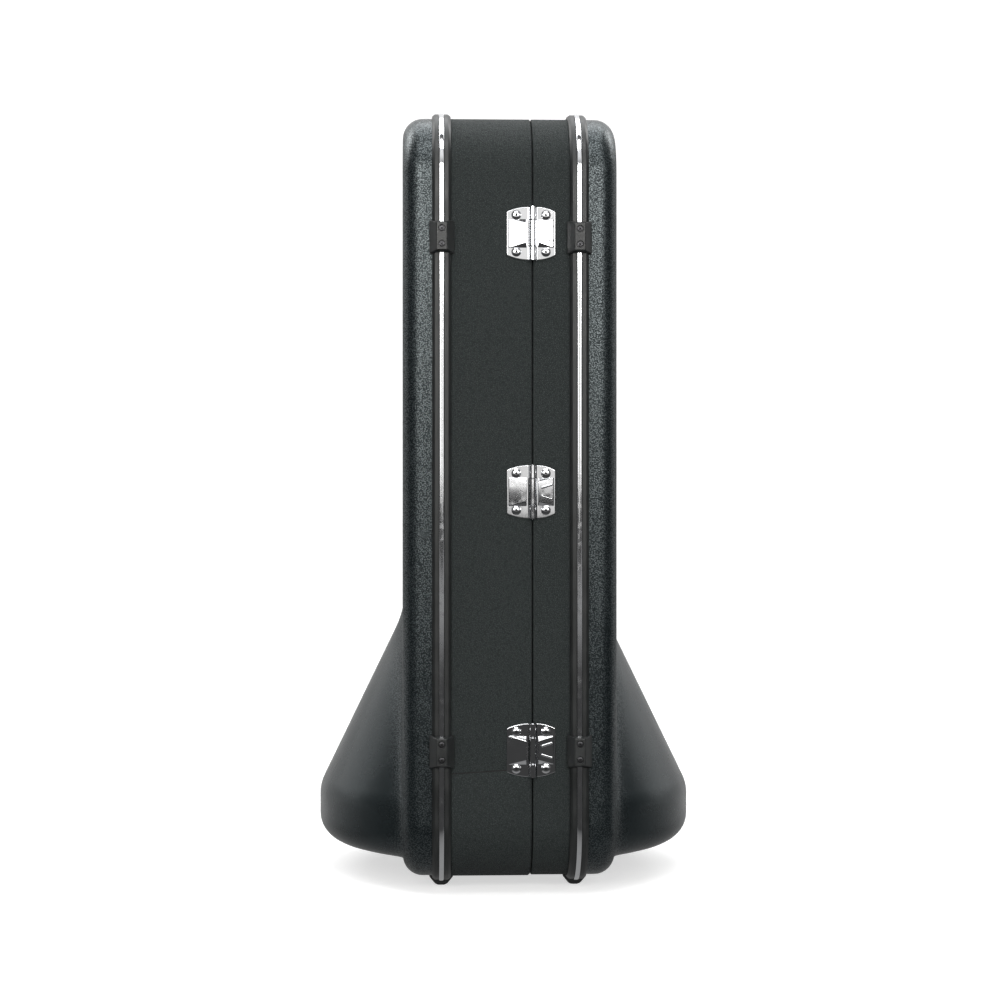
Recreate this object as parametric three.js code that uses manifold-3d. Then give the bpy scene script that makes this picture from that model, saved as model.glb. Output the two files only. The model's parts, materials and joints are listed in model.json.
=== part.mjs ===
// Hard case for a euphonium, standing on its bell end with the hinged spine towards -Y.
// Millimetres, +Z up. The base half is on the -X side, the lid half on the +X side, and
// the lid swings about the hinge pins on the spine. The origin is the centre of the
// footprint, at the feet. Everything is first laid out in case coordinates, where the
// spine is the plane y = 0 and the bell end the plane z = 0, and the group is then moved.
import * as THREE from "three";
import { mergeVertices } from "three/addons/utils/BufferGeometryUtils.js";
import Module from "manifold-3d";

const wasm = await Module();
wasm.setup();

// Driving dimensions of the case
const caseLength = 760; // bell end to small end, over the covering
const bellRadius = 195; // outside of the bell bulge
const bellSpineOverhang = 10; // how far the bulge's circle passes the spine plane
const bellAxisDepth = bellRadius - bellSpineOverhang;
const bellLatchMargin = 20; // bulge to the latch side
const caseWidth = bellAxisDepth + bellRadius + bellLatchMargin; // over the covering
const caseThickness = 212; // flat face to flat face
const spineCornerRadius = 60;
const latchCornerRadius = 95;
const faceEdgeRadius = 20;
const trimCentre = 67.5; // middle plane of each trim, from the middle of the thickness
const splitPlane = 21.5; // where base and lid meet
const splitGap = 1;
const shellWall = 3.2;
const frameWall = 8;
const liningThickness = 4;
const seatGap = 0.3; // left between two pieces that touch
const overrun = 5; // how far a cutting body passes the surface that it cuts
const cornerSteps = 6;
const edgeSteps = 4;
const roundSides = 16;
const smallRoundSides = 12;
const pocketSides = 24;
const earSteps = 8;

// Bell bulge, turned about an upright axis
const bellFloor = 19; // above the bell end of the case
const bellFloorRadius = 27;
const bellCrease = 76; // where the rim turns into the cone
const bellConeSlope = 0.485; // loss of radius per unit of height
const bellTopRadius = 62; // the cone ends inside the flat body at this radius
const bellSides = 48;
const bellFloorSteps = 4;

// Trim: a T section with a chrome bead, and the clips over its joints
const trimWidth = 18.6;
const trimHeight = 4.5;
const trimEdgeHeight = 2.6;
const trimShoulder = 3;
const trimWeb = 1.6;
const beadWidth = 4.8;
const beadGroove = 1.3;
const beadCrown = 1.1; // how far the bead stands above the trim
const beadShoulderShare = 0.55; // width of the bead's top, as a share of its own width
const trimJointGap = 1;
const clipLength = 32;
const clipWidth = 24;
const clipHeight = 12.5;
const clipFlankHeight = 3.6;
const clipPlateau = 10;
const clipEndSlope = 2.5;
const clipScrewRise = 7.6; // middle of the clip to each screw
const clipScrewRecess = 1.4;
const clipScrewRadius = 3.1;
const spineClipLow = 131; // bell end to the lower clips on the spine
const spineClipHigh = caseLength - 126;
const footClipFrontMargin = 6; // corner to the end of each clip that the case stands on
const footClipRearMargin = 4;
const footClipFront = spineCornerRadius + footClipFrontMargin + clipLength / 2;
const footClipRear = caseWidth - latchCornerRadius - footClipRearMargin - clipLength / 2;

// Lip that centres the lid
const lipThickness = 2;
const lipGap = 0.4;
const lipReach = 5.5; // past the split
const lipSeat = 16; // inside the base
const liningRelief = 1.2; // lining kept back from the lip and from the split

// Hinges
const lowerHinge = 132; // bell end to the middle of the hinge
const upperHinge = caseLength - 122;
const middleHinge = (lowerHinge + upperHinge) / 2;
const hingeHeights = { lower: lowerHinge, middle: middleHinge, upper: upperHinge };
const leafThickness = 1.2;
const hingeAxisHeight = 4.2; // above the covering
const knuckleRadius = 3;
const pinRadius = 1.4;
const pinClearance = 0.35;
const hingeHeight = 53;
const leafEndHeight = 43;
const baseLeafReach = 25.5;
const lidLeafReach = 22.5;
const middleKnuckle = 26;
const knuckleGap = 0.4;
const leafNotch = 3.6; // leaf edge to pin axis, beside a neighbour's knuckle
const embossHeight = 3;
const embossBevel = 2.6;
const embossMargin = 2.2;
const baseEmbossHeight = 28;
const lidEmbossHeight = 27;
const rivetRadius = 4;
const rivetCrown = 1.4;
const rivetTopShare = 0.6; // crown radius over head radius
const rivetEdge = 9.5; // leaf end to rivet axis
const hingeRivetRise = 18;
const ribLength = 9.5;
const ribWidth = 1.6;
const ribHeight = 0.9;
const ribSpread = 5.4;
const ribTilt = 0.27; // radians

// Latches: base plate, lever and wire bail on the base, keeper on the lid
const latchEndInset = 128; // end of the case to the nearest latches
const latchHandleInset = 120; // middle of the handle to the latches beside it
const latchPlateNear = 6; // edge of the plate, back from the split
const latchPlateFar = 50;
const latchPlateHalf = 17;
const latchPlateEndHalf = 13.5;
const leverPivotBack = 14; // lever pivot, back from the split
const leverPivotHeight = 6.4;
const bailCrank = 7; // lever pivot to bail pivot
const bailCrankAngle = THREE.MathUtils.degToRad(195); // just past dead centre
const earInner = 4.8;
const earThickness = 1.5;
const earRadius = 3.4;
const earFoot = 4.5;
const cheekThickness = 1.4;
const cheekRadius = 4;
const cheekLength = 13;
const leverTopThickness = 1.5;
const leverTopHeight = 9.2; // top face above the covering, when shut
const leverLength = 32;
const leverRoot = 4.2; // the top plate starts this far from the pivot
const leverTabHeight = 3.5;
const trunnionRadius = 1.5;
const trunnionClearance = 0.35;
const bailWireRadius = 1.1;
const bailClearance = 0.35;
const bailSideGap = 1;
const bailBarReach = 12.2; // bar, past the split, when shut
const bailBarHeight = 2.9;
const bailEyeWall = 1.1; // cheek left round the bail's bore
const bailStubBite = 1.1; // how far the wire's ends enter the cheeks
const latchStandOff = THREE.MathUtils.degToRad(4); // levers rest this far short of shut
const bailTurnRatio = 1.5; // the bail's turn on the lever, per turn of the lever
const keeperNear = 4;
const keeperFar = 25;
const keeperHalf = 14;
const keeperEndHalf = 11;
const toothThickness = 1.8;
const toothHeight = 3.1;
const toothHalf = 6.5;
const toothGap = 0.5; // tooth to bar, when shut
const latchRivetEnd = 6;
const latchRivetSide = 5;

// Carrying handle
const handleHalf = 66; // middle of the handle to each pivot eye
const handlePivotAcross = -6; // from the middle of the thickness
const handlePivotHeight = 10.5;
const handleReach = 36; // pivot line to the middle of the grip
const gripRadius = 8.5;
const handleEyeRadius = 5.5;
const handleEyeLength = 12;
const handleSides = 10;
const handleSteps = 18;
const handleShoulderShare = 0.72; // where the handle's bend lies, as a share of its half length
const handleRiseShare = 0.86; // reach at that bend, as a share of the whole reach
const mountThickness = 1.6;
const mountWidth = 26;
const mountHeight = 22;
const mountEarThickness = 2.2;
const mountEarRadius = 5.2;
const mountEarFoot = 7.3;
const mountPinRadius = 2;
const mountPinClearance = 0.4;
const mountGap = 0.6;

// Nest for the instrument, inside the base
const nestGap = 0.6; // block to lining
const nestTop = 12; // top of the blocks, short of the split plane's own height
const tailBlockLength = 150;
const tailPocketRadius = 128;
const tailPocketDepth = 72;
const bellPadLength = 22;
const throatBlockLow = 322;
const throatBlockHigh = 402;
const throatBlockAisle = 39; // throat block to accessory box
const throatRadius = 66;
const boxWall = 6;
const boxLow = 190;
const boxHigh = 400;
const boxReach = 80; // inward from the latch side's lining
const boxFloor = 6;
const boxLidThickness = 4;
const boxLidEdgeRadius = 2.3;
const boxLidPinRadius = 1;
const boxLidPinClearance = 0.35;
const boxEarThickness = 5;
const boxEarGap = 0.4;
const boxKnobRadius = 6;
const boxKnobHeight = 5;
const boxKnobInset = 14; // from the lid's free edge
const mouthpieceRadius = 8.5;
const mouthpieceDepth = 62;
const lidPadThickness = 14;
const lidPadEdge = 5;
const lidPadSideMargin = 60; // from the spine and the latch side
const lidPadLow = 430;
const lidPadTailMargin = 110;

// Colours and finishes
const finishes = {
  abs: { color: 0x1b1c1c, roughness: 0.42, metalness: 0 },
  covering: { color: 0x202322, roughness: 0.62, metalness: 0 },
  trim: { color: 0x171918, roughness: 0.4, metalness: 0 },
  chrome: { color: 0xd8d9da, roughness: 0.12, metalness: 1 },
  clip: { color: 0x161817, roughness: 0.5, metalness: 0 },
  lining: { color: 0x1c1d22, roughness: 0.95, metalness: 0 },
  lip: { color: 0x8d9092, roughness: 0.4, metalness: 1 },
  grip: { color: 0x121313, roughness: 0.45, metalness: 0 },
};

const halfThickness = caseThickness / 2;
const lidSide = 1;
const baseSide = -1;
const model = new THREE.Group();

// Solids

// A geometry as a solid that can be joined and cut.
function solidOf(geometry) {
  const bare = geometry.index ? geometry.toNonIndexed() : geometry.clone();
  const points = new THREE.BufferGeometry().setAttribute("position", bare.getAttribute("position"));
  const merged = mergeVertices(points, 1e-4);
  return new wasm.Manifold(
    new wasm.Mesh({
      numProp: 3,
      vertProperties: new Float32Array(merged.attributes.position.array),
      triVerts: new Uint32Array(merged.index.array),
    }),
  );
}

// A solid as a geometry for a mesh.
function geometryOf(solid) {
  const mesh = solid.getMesh();
  const position = new Float32Array(mesh.numVert * 3);
  for (let i = 0; i < mesh.numVert; i++) {
    position.set(mesh.vertProperties.subarray(i * mesh.numProp, i * mesh.numProp + 3), i * 3);
  }
  const geometry = new THREE.BufferGeometry();
  geometry.setAttribute("position", new THREE.BufferAttribute(position, 3));
  geometry.setIndex(new THREE.BufferAttribute(new Uint32Array(mesh.triVerts), 1));
  geometry.computeVertexNormals();
  return geometry;
}

function join(solids) {
  return solids.reduce((whole, solid) => whole.add(solid));
}

function addMesh(name, solid, finish, parent = model) {
  const mesh = new THREE.Mesh(geometryOf(solid), new THREE.MeshStandardMaterial(finishes[finish]));
  mesh.name = name;
  parent.add(mesh);
  return mesh;
}

// A box between two corners.
function boxOf(low, high) {
  const size = high.map((value, i) => value - low[i]);
  const geometry = new THREE.BoxGeometry(...size);
  geometry.translate(...low.map((value, i) => value + size[i] / 2));
  return solidOf(geometry);
}

// A cylinder along Z between two heights, about the point (x, y).
function rodOf(radius, x, y, low, high, sides = roundSides) {
  const geometry = new THREE.CylinderGeometry(radius, radius, high - low, sides);
  geometry.rotateX(Math.PI / 2);
  geometry.translate(x, y, (low + high) / 2);
  return solidOf(geometry);
}

// A flat shape in X and Y, given as points, raised along Z between two heights.
function plateOf(points, low, high) {
  const shape = new THREE.Shape(points.map(([x, y]) => new THREE.Vector2(x, y)));
  const geometry = new THREE.ExtrudeGeometry(shape, { depth: high - low, bevelEnabled: false });
  geometry.translate(0, 0, low);
  return solidOf(geometry);
}

// Points on an arc, both ends included.
function arcOf(x, y, radius, from, to, steps) {
  return Array.from({ length: steps + 1 }, (_, i) => {
    const angle = from + ((to - from) * i) / steps;
    return [x + radius * Math.cos(angle), y + radius * Math.sin(angle)];
  });
}

// The case's outline in Y and Z, moved inwards by inset. Every ring has as many points.
function outlineOf(inset) {
  const spine = spineCornerRadius;
  const latch = latchCornerRadius;
  const quarter = Math.PI / 2;
  const corner = (y, z, radius, from) =>
    arcOf(y, z, radius - inset, from, from + quarter, cornerSteps);
  return [
    ...corner(spine, spine, spine, 2 * quarter),
    ...corner(caseWidth - latch, latch, latch, 3 * quarter),
    ...corner(caseWidth - latch, caseLength - latch, latch, 0),
    ...corner(spine, caseLength - spine, spine, quarter),
  ];
}

// A closed body through rings of points, each ring as many points, flat at both ends.
function loftOf(rings) {
  const count = rings[0].length;
  const position = rings.flat(2);
  const index = [];
  const at = (ring, i) => ring * count + (i % count);
  for (let ring = 0; ring + 1 < rings.length; ring++) {
    for (let i = 0; i < count; i++) {
      index.push(at(ring, i), at(ring, i + 1), at(ring + 1, i + 1));
      index.push(at(ring, i), at(ring + 1, i + 1), at(ring + 1, i));
    }
  }
  for (let i = 1; i + 1 < count; i++) {
    index.push(at(0, 0), at(0, i + 1), at(0, i));
    index.push(at(rings.length - 1, 0), at(rings.length - 1, i), at(rings.length - 1, i + 1));
  }
  const geometry = new THREE.BufferGeometry();
  geometry.setAttribute("position", new THREE.Float32BufferAttribute(position, 3));
  geometry.setIndex(index);
  return solidOf(geometry);
}

// A closed section of [x, height over the covering] points, carried round the outline.
function hoopOf(section) {
  const rings = section.map(([x, height]) => outlineOf(-height).map(([y, z]) => [x, y, z]));
  const count = rings[0].length;
  const index = [];
  const at = (ring, i) => (ring % rings.length) * count + (i % count);
  for (let ring = 0; ring < rings.length; ring++) {
    for (let i = 0; i < count; i++) {
      index.push(at(ring, i), at(ring, i + 1), at(ring + 1, i + 1));
      index.push(at(ring, i), at(ring + 1, i + 1), at(ring + 1, i));
    }
  }
  const geometry = new THREE.BufferGeometry();
  geometry.setAttribute("position", new THREE.Float32BufferAttribute(rings.flat(2), 3));
  geometry.setIndex(index);
  return solidOf(geometry);
}

// Shells, frames and lining

// The flat body's half, inset on every side, from an inner plane to the rounded face.
function slabOf(side, inset, innerPlane) {
  const face = halfThickness - inset;
  const radius = faceEdgeRadius - inset;
  const ring = (x, ringInset) => outlineOf(ringInset).map(([y, z]) => [side * x, y, z]);
  const rings = [ring(innerPlane, inset)];
  for (let step = 0; step <= edgeSteps; step++) {
    const angle = (Math.PI / 2) * (step / edgeSteps);
    rings.push(ring(face - radius * (1 - Math.sin(angle)), inset + radius * (1 - Math.cos(angle))));
  }
  return loftOf(side === lidSide ? rings : rings.reverse());
}

// A straight-sided band of the outline between two planes.
function bandOf(side, inset, innerPlane, outerPlane) {
  const ring = (x) => outlineOf(inset).map(([y, z]) => [side * x, y, z]);
  const rings = [ring(innerPlane), ring(outerPlane)];
  return loftOf(side === lidSide ? rings : rings.reverse());
}

// The bell's turned form, inset on every side, kept only outside an inner plane.
function bellOf(side, inset, innerPlane) {
  const radius = bellRadius - inset;
  const floor = bellFloor + inset;
  const corner = bellFloorRadius - inset;
  const coneShift = inset * (Math.sqrt(1 + bellConeSlope ** 2) - 1); // keeps the cone's wall even
  const top = bellCrease + (bellRadius - bellTopRadius) / bellConeSlope;
  const crease = bellCrease - coneShift;
  const profile = [
    [0, floor],
    ...arcOf(radius - corner, floor + corner, corner, -Math.PI / 2, 0, bellFloorSteps),
    [radius, crease],
    [radius - bellConeSlope * (top - crease), top],
    [0, top],
  ];
  const points = profile.map(([r, z]) => new THREE.Vector2(r, z));
  const geometry = new THREE.LatheGeometry(points, bellSides);
  geometry.rotateX(Math.PI / 2);
  geometry.translate(0, bellAxisDepth, 0);
  const reach = bellRadius + overrun;
  const low = [side * innerPlane, bellAxisDepth - reach, 0];
  const high = [side * reach, bellAxisDepth + reach, top + overrun];
  const kept = boxOf(
    low.map((value, i) => Math.min(value, high[i])),
    low.map((value, i) => Math.max(value, high[i])),
  );
  return solidOf(geometry).intersect(kept);
}

const webFace = trimCentre + trimWeb / 2 + seatGap; // shell edge, beside the trim's web
const frameFace = trimCentre - trimWeb / 2 - seatGap; // frame edge, on the web's other side
const bellRoot = halfThickness - faceEdgeRadius;

function shellOf(side) {
  const outside = slabOf(side, 0, webFace).add(bellOf(side, 0, bellRoot));
  const inside = slabOf(side, shellWall, webFace - overrun).add(bellOf(side, shellWall, bellRoot));
  return outside.subtract(inside);
}

// Distance from the middle of the thickness to this half's edge at the split.
function edgeOf(side) {
  return side * splitPlane + splitGap / 2;
}

function frameOf(side) {
  const edge = edgeOf(side);
  const outside = bandOf(side, 0, edge, frameFace);
  return outside.subtract(bandOf(side, frameWall, edge - overrun, frameFace + overrun));
}

function liningOf(side) {
  const skin = shellWall + seatGap;
  const edge = edgeOf(side);
  const inwards = side === lidSide ? lipReach + liningRelief : -lipSeat - liningRelief;
  const rim = side === lidSide ? edge + inwards : edge - inwards;
  const outside = slabOf(side, skin, webFace)
    .add(bellOf(side, skin, bellRoot))
    .add(bandOf(side, frameWall + seatGap, rim, webFace + overrun));
  const inside = slabOf(side, frameWall + seatGap + liningThickness, rim - overrun)
    .add(slabOf(side, skin + liningThickness, webFace).intersect(nestBandOf(side, rim)))
    .add(bellOf(side, skin + liningThickness, bellRoot));
  return outside.subtract(inside);
}

// The space inside the lining's side walls, from the rim out through the face.
function nestBandOf(side, rim) {
  return bandOf(side, frameWall + seatGap + liningThickness, rim - overrun, halfThickness);
}

const halves = [
  ["base", baseSide],
  ["lid", lidSide],
];
for (const [half, side] of halves) {
  addMesh(`${half}_shell`, shellOf(side), "abs");
  addMesh(`${half}_frame`, frameOf(side), "covering");
  addMesh(`${half}_lining`, liningOf(side), "lining");
}

// Trim, beads, clips and lip

function trimOf(side) {
  const half = trimWidth / 2;
  const groove = beadWidth / 2 + seatGap;
  const section = [
    [-half, seatGap],
    [-half, trimEdgeHeight],
    [-half + trimShoulder, trimHeight],
    [-groove, trimHeight],
    [-groove, trimHeight - beadGroove],
    [groove, trimHeight - beadGroove],
    [groove, trimHeight],
    [half - trimShoulder, trimHeight],
    [half, trimEdgeHeight],
    [half, seatGap],
    [trimWeb / 2, seatGap],
    [trimWeb / 2, -frameWall],
    [-trimWeb / 2, -frameWall],
    [-trimWeb / 2, seatGap],
  ];
  return hoopOf(section.map(([x, height]) => [side * trimCentre + x, height]));
}

function beadOf(side) {
  const half = beadWidth / 2;
  const low = trimHeight - beadGroove + seatGap;
  const top = trimHeight + beadCrown;
  const section = [
    [-half, low],
    [-half, trimHeight],
    [-half * beadShoulderShare, top],
    [half * beadShoulderShare, top],
    [half, trimHeight],
    [half, low],
  ];
  return hoopOf(section.map(([x, height]) => [side * trimCentre + x, height]));
}

// The stretch of spine between the two joints, as a cutting box.
function spineStretch(shrink) {
  const reach = trimHeight + beadCrown + overrun;
  return boxOf(
    [-halfThickness, -reach, spineClipLow + shrink],
    [halfThickness, frameWall + overrun, spineClipHigh - shrink],
  );
}

for (const [half, side] of halves) {
  const wide = spineStretch(-trimJointGap / 2);
  const narrow = spineStretch(trimJointGap / 2);
  addMesh(`${half}_trim_spine`, trimOf(side).intersect(narrow), "trim");
  addMesh(`${half}_trim_wrap`, trimOf(side).subtract(wide), "trim");
  addMesh(`${half}_bead_spine`, beadOf(side).intersect(narrow), "chrome");
  addMesh(`${half}_bead_wrap`, beadOf(side).subtract(wide), "chrome");
}

// A clip in its own frame: X across the trim, Y out from the covering, Z along the trim.
function clipOf() {
  const half = clipWidth / 2;
  const channel = trimWidth / 2 + seatGap;
  const roof = trimHeight + beadCrown + seatGap;
  const outer = [
    [-half, seatGap],
    [half, seatGap],
    [half, clipFlankHeight],
    [clipPlateau / 2, clipHeight],
    [-clipPlateau / 2, clipHeight],
    [-half, clipFlankHeight],
  ];
  const inner = [
    [-channel, seatGap - overrun],
    [channel, seatGap - overrun],
    [channel, trimEdgeHeight + seatGap],
    [channel - trimShoulder, roof],
    [trimShoulder - channel, roof],
    [-channel, trimEdgeHeight + seatGap],
  ];
  const end = clipLength / 2;
  const body = plateOf(outer, -end, end).subtract(plateOf(inner, -end - overrun, end + overrun));
  const screws = [-1, 1].map((way) => {
    const height = clipScrewRecess + overrun;
    const geometry = new THREE.CylinderGeometry(clipScrewRadius, clipScrewRadius, height, earSteps);
    geometry.translate(0, clipHeight - clipScrewRecess + height / 2, way * clipScrewRise);
    return solidOf(geometry);
  });
  return body.intersect(clipEndsOf(half, end)).subtract(join(screws));
}

// A block whose ends lean inwards towards the top, which slopes the clip's ends.
function clipEndsOf(half, end) {
  const side = half + overrun;
  const profile = [
    [-end, seatGap - overrun],
    [end, seatGap - overrun],
    [end, clipFlankHeight],
    [end - clipEndSlope, clipHeight + seatGap],
    [clipEndSlope - end, clipHeight + seatGap],
    [-end, clipFlankHeight],
  ];
  const shape = new THREE.Shape(profile.map(([x, y]) => new THREE.Vector2(x, y)));
  const geometry = new THREE.ExtrudeGeometry(shape, { depth: 2 * side, bevelEnabled: false });
  geometry.translate(0, 0, -side);
  geometry.rotateY(Math.PI / 2);
  return solidOf(geometry);
}

for (const [half, side] of halves) {
  const across = side * trimCentre;
  const spineClips = { low: spineClipLow, high: spineClipHigh };
  for (const [level, height] of Object.entries(spineClips)) {
    const clip = addMesh(`${half}_clip_${level}`, clipOf(), "clip");
    clip.position.set(across, 0, height);
    clip.rotation.x = Math.PI;
  }
  const footClips = { front: footClipFront, rear: footClipRear };
  for (const [place, depth] of Object.entries(footClips)) {
    const clip = addMesh(`${half}_foot_${place}`, clipOf(), "clip");
    clip.position.set(across, depth, 0);
    clip.rotation.x = -Math.PI / 2;
  }
}

const lipInset = frameWall + lipGap;
const baseEdge = splitPlane - splitGap / 2;
addMesh(
  "alignment_lip",
  bandOf(lidSide, lipInset, baseEdge - lipSeat, baseEdge + splitGap + lipReach).subtract(
    bandOf(lidSide, lipInset + lipThickness, baseEdge - lipSeat - overrun, halfThickness),
  ),
  "lip",
);

// Hinges
// Each hinge is made in its own frame: X across the split, Y out from the spine, Z along it.

// Half of the hinge's outline, its ends drawn in by an arch from the middle to the far edge.
function leafOutline(near, far, nearHalf, farHalf) {
  const steps = 5;
  const drop = nearHalf - farHalf;
  const edge = Array.from({ length: steps + 1 }, (_, i) => {
    const share = i / steps;
    return [near + (far - near) * share, nearHalf - drop * share ** 2];
  });
  return [...edge, ...edge.map(([x, z]) => [x, -z]).reverse()];
}

// A plate lying on the covering: outline points are [X, Z], thickness is along Y.
function leafPlateOf(points, low, high) {
  const shape = new THREE.Shape(points.map(([x, z]) => new THREE.Vector2(x, -z)));
  const geometry = new THREE.ExtrudeGeometry(shape, { depth: high - low, bevelEnabled: false });
  geometry.rotateX(-Math.PI / 2);
  geometry.translate(0, low, 0);
  return solidOf(geometry);
}

// A raised panel with bevelled edges on top of a plate.
function embossOf(x0, x1, halfHeight, base, height) {
  const ring = (inset, y) => [
    [x0 + inset, y, -halfHeight + inset],
    [x0 + inset, y, halfHeight - inset],
    [x1 - inset, y, halfHeight - inset],
    [x1 - inset, y, -halfHeight + inset],
  ];
  return loftOf([ring(0, base), ring(embossBevel, base + height)]);
}

// A rivet head standing on a plate.
function rivetOf(x, base, z) {
  const geometry = new THREE.CylinderGeometry(
    rivetRadius * rivetTopShare,
    rivetRadius,
    rivetCrown + seatGap,
    smallRoundSides,
  );
  geometry.translate(x, base + (rivetCrown - seatGap) / 2, z);
  return solidOf(geometry);
}

const leafTop = seatGap + leafThickness;
const knuckleBore = pinRadius + pinClearance;

// A knuckle and the strap that joins it to its leaf, on the side given.
function knuckleOf(side, low, high) {
  const x0 = side > 0 ? 0 : -knuckleRadius;
  const x1 = side > 0 ? knuckleRadius : 0;
  const strap = boxOf([x0, seatGap, low], [x1, hingeAxisHeight, high]);
  return rodOf(knuckleRadius, 0, hingeAxisHeight, low, high).add(strap);
}

function baseLeafOf() {
  const farEdge = -baseLeafReach;
  const middle = middleKnuckle / 2 + knuckleGap / 2;
  const end = hingeHeight / 2;
  const plate = leafPlateOf(
    leafOutline(0, farEdge, end, leafEndHeight / 2).reverse(),
    seatGap,
    leafTop,
  );
  const clear = hingeAxisHeight + knuckleRadius + overrun;
  const notch = boxOf([-leafNotch, -overrun, -middle], [overrun, clear, middle]);
  const emboss = embossOf(
    farEdge + embossMargin,
    -leafNotch - seatGap,
    baseEmbossHeight / 2,
    leafTop - seatGap,
    embossHeight,
  );
  const rivetX = farEdge + rivetEdge;
  return join([
    plate,
    knuckleOf(-1, middle, end),
    knuckleOf(-1, -end, -middle),
    emboss,
    rivetOf(rivetX, leafTop, hingeRivetRise),
    rivetOf(rivetX, leafTop, -hingeRivetRise),
  ])
    .subtract(notch)
    .subtract(rodOf(knuckleBore, 0, hingeAxisHeight, -end - overrun, end + overrun, smallRoundSides));
}

function lidLeafOf() {
  const middle = middleKnuckle / 2 - knuckleGap / 2;
  const end = hingeHeight / 2;
  const plate = leafPlateOf(
    leafOutline(leafNotch, lidLeafReach, end, leafEndHeight / 2),
    seatGap,
    leafTop,
  );
  const bridge = boxOf([0, seatGap, -middle], [leafNotch + seatGap, leafTop, middle]);
  const embossNear = knuckleRadius + seatGap;
  const embossFar = lidLeafReach - embossMargin;
  const emboss = embossOf(embossNear, embossFar, lidEmbossHeight / 2, leafTop - seatGap, embossHeight);
  const rivetX = lidLeafReach - rivetEdge;
  const ribTop = leafTop + embossHeight - seatGap + ribHeight;
  const ribs = [-1, 1].map((way) => {
    const geometry = new THREE.BoxGeometry(ribLength, ribHeight + seatGap, ribWidth);
    geometry.rotateY(-way * ribTilt);
    geometry.translate(
      (embossNear + embossFar) / 2 + seatGap,
      ribTop - (ribHeight + seatGap) / 2,
      way * ribSpread,
    );
    return solidOf(geometry);
  });
  return join([
    plate,
    bridge,
    knuckleOf(1, -middle, middle),
    emboss,
    ...ribs,
    rivetOf(rivetX, leafTop, hingeRivetRise),
    rivetOf(rivetX, leafTop, -hingeRivetRise),
  ]).subtract(rodOf(knuckleBore, 0, hingeAxisHeight, -end, end, smallRoundSides));
}

for (const [station, height] of Object.entries(hingeHeights)) {
  const hinge = new THREE.Group();
  hinge.position.set(splitPlane, 0, height);
  hinge.rotation.x = Math.PI;
  model.add(hinge);
  addMesh(`hinge_${station}_base_leaf`, baseLeafOf(), "chrome", hinge);
  addMesh(`hinge_${station}_lid_leaf`, lidLeafOf(), "chrome", hinge);
  const half = hingeHeight / 2 + seatGap;
  const pin = rodOf(pinRadius, 0, hingeAxisHeight, -half, half, smallRoundSides);
  addMesh(`hinge_${station}_pin`, pin, "chrome", hinge);
}

// Latches
// Each latch is made in its own frame: X across the split, Y out from the latch side, Z along it.

const leverPivot = [-leverPivotBack, leverPivotHeight];
const bailPivot = [bailCrank * Math.cos(bailCrankAngle), bailCrank * Math.sin(bailCrankAngle)];
const cheekInner = earInner + earThickness + seatGap;
const cheekOuter = cheekInner + cheekThickness;
const bailHalf = cheekOuter + bailSideGap + bailWireRadius;

function latchPlateOf() {
  const near = -latchPlateNear;
  const far = -latchPlateFar;
  const plate = leafPlateOf(
    leafOutline(near, far, latchPlateHalf, latchPlateEndHalf).reverse(),
    seatGap,
    leafTop,
  );
  const [x, y] = leverPivot;
  const ear = [
    [x - earRadius, seatGap],
    [x + earFoot, seatGap],
    ...arcOf(x, y, earRadius, 0, Math.PI, earSteps),
  ];
  const ears = [-1, 1].map((way) => {
    const inner = way * earInner;
    const outer = way * (earInner + earThickness);
    return plateOf(ear, Math.min(inner, outer), Math.max(inner, outer));
  });
  const rivetZ = latchPlateEndHalf - latchRivetSide;
  const rivets = [-1, 1].map((way) => rivetOf(far + latchRivetEnd, leafTop, way * rivetZ));
  const reach = earInner + earThickness + overrun;
  const bore = rodOf(trunnionRadius + trunnionClearance, x, y, -reach, reach, smallRoundSides);
  return join([plate, ...ears, ...rivets]).subtract(bore);
}

// The lever about its pivot: the pivot is the origin and the shut lever points to -X.
function leverOf() {
  const top = leverTopHeight - leverPivotHeight;
  const under = top - leverTopThickness;
  const [bx, by] = bailPivot;
  const cheek = [
    ...arcOf(0, 0, cheekRadius, -Math.PI / 2, Math.PI / 4, 6),
    [-leverRoot, top],
    [-cheekLength, top],
    [-cheekLength, under],
    ...arcOf(bx, by, bailWireRadius + bailClearance + bailEyeWall, -Math.PI * 0.85, -Math.PI / 2, 3),
  ];
  const bailBore = bailWireRadius + bailClearance;
  const cheeks = [-1, 1].map((way) => {
    const inner = way * cheekInner;
    const outer = way * cheekOuter;
    const low = Math.min(inner, outer);
    const high = Math.max(inner, outer);
    const hole = rodOf(bailBore, bx, by, low - seatGap, high + seatGap, smallRoundSides);
    return plateOf(cheek, low, high).subtract(hole);
  });
  const plate = boxOf([-leverLength, under, -cheekOuter], [-leverRoot, top, cheekOuter]);
  const tab = plateOf(
    [
      [-leverLength - leverTabHeight / 2, top + leverTabHeight],
      [-leverLength - leverTopThickness, under + leverTopThickness / 2],
      [-leverLength, under],
      [-leverLength + leverTopThickness, under],
      [-leverLength + leverTopThickness, top],
      [-leverLength, top],
      [-leverLength - leverTabHeight / 2 + leverTopThickness, top + leverTabHeight],
    ],
    -cheekOuter,
    cheekOuter,
  );
  const reach = cheekInner + seatGap;
  const pivot = rodOf(trunnionRadius, 0, 0, -reach, reach, smallRoundSides);
  return join([plate, tab, ...cheeks, pivot]);
}

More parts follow.
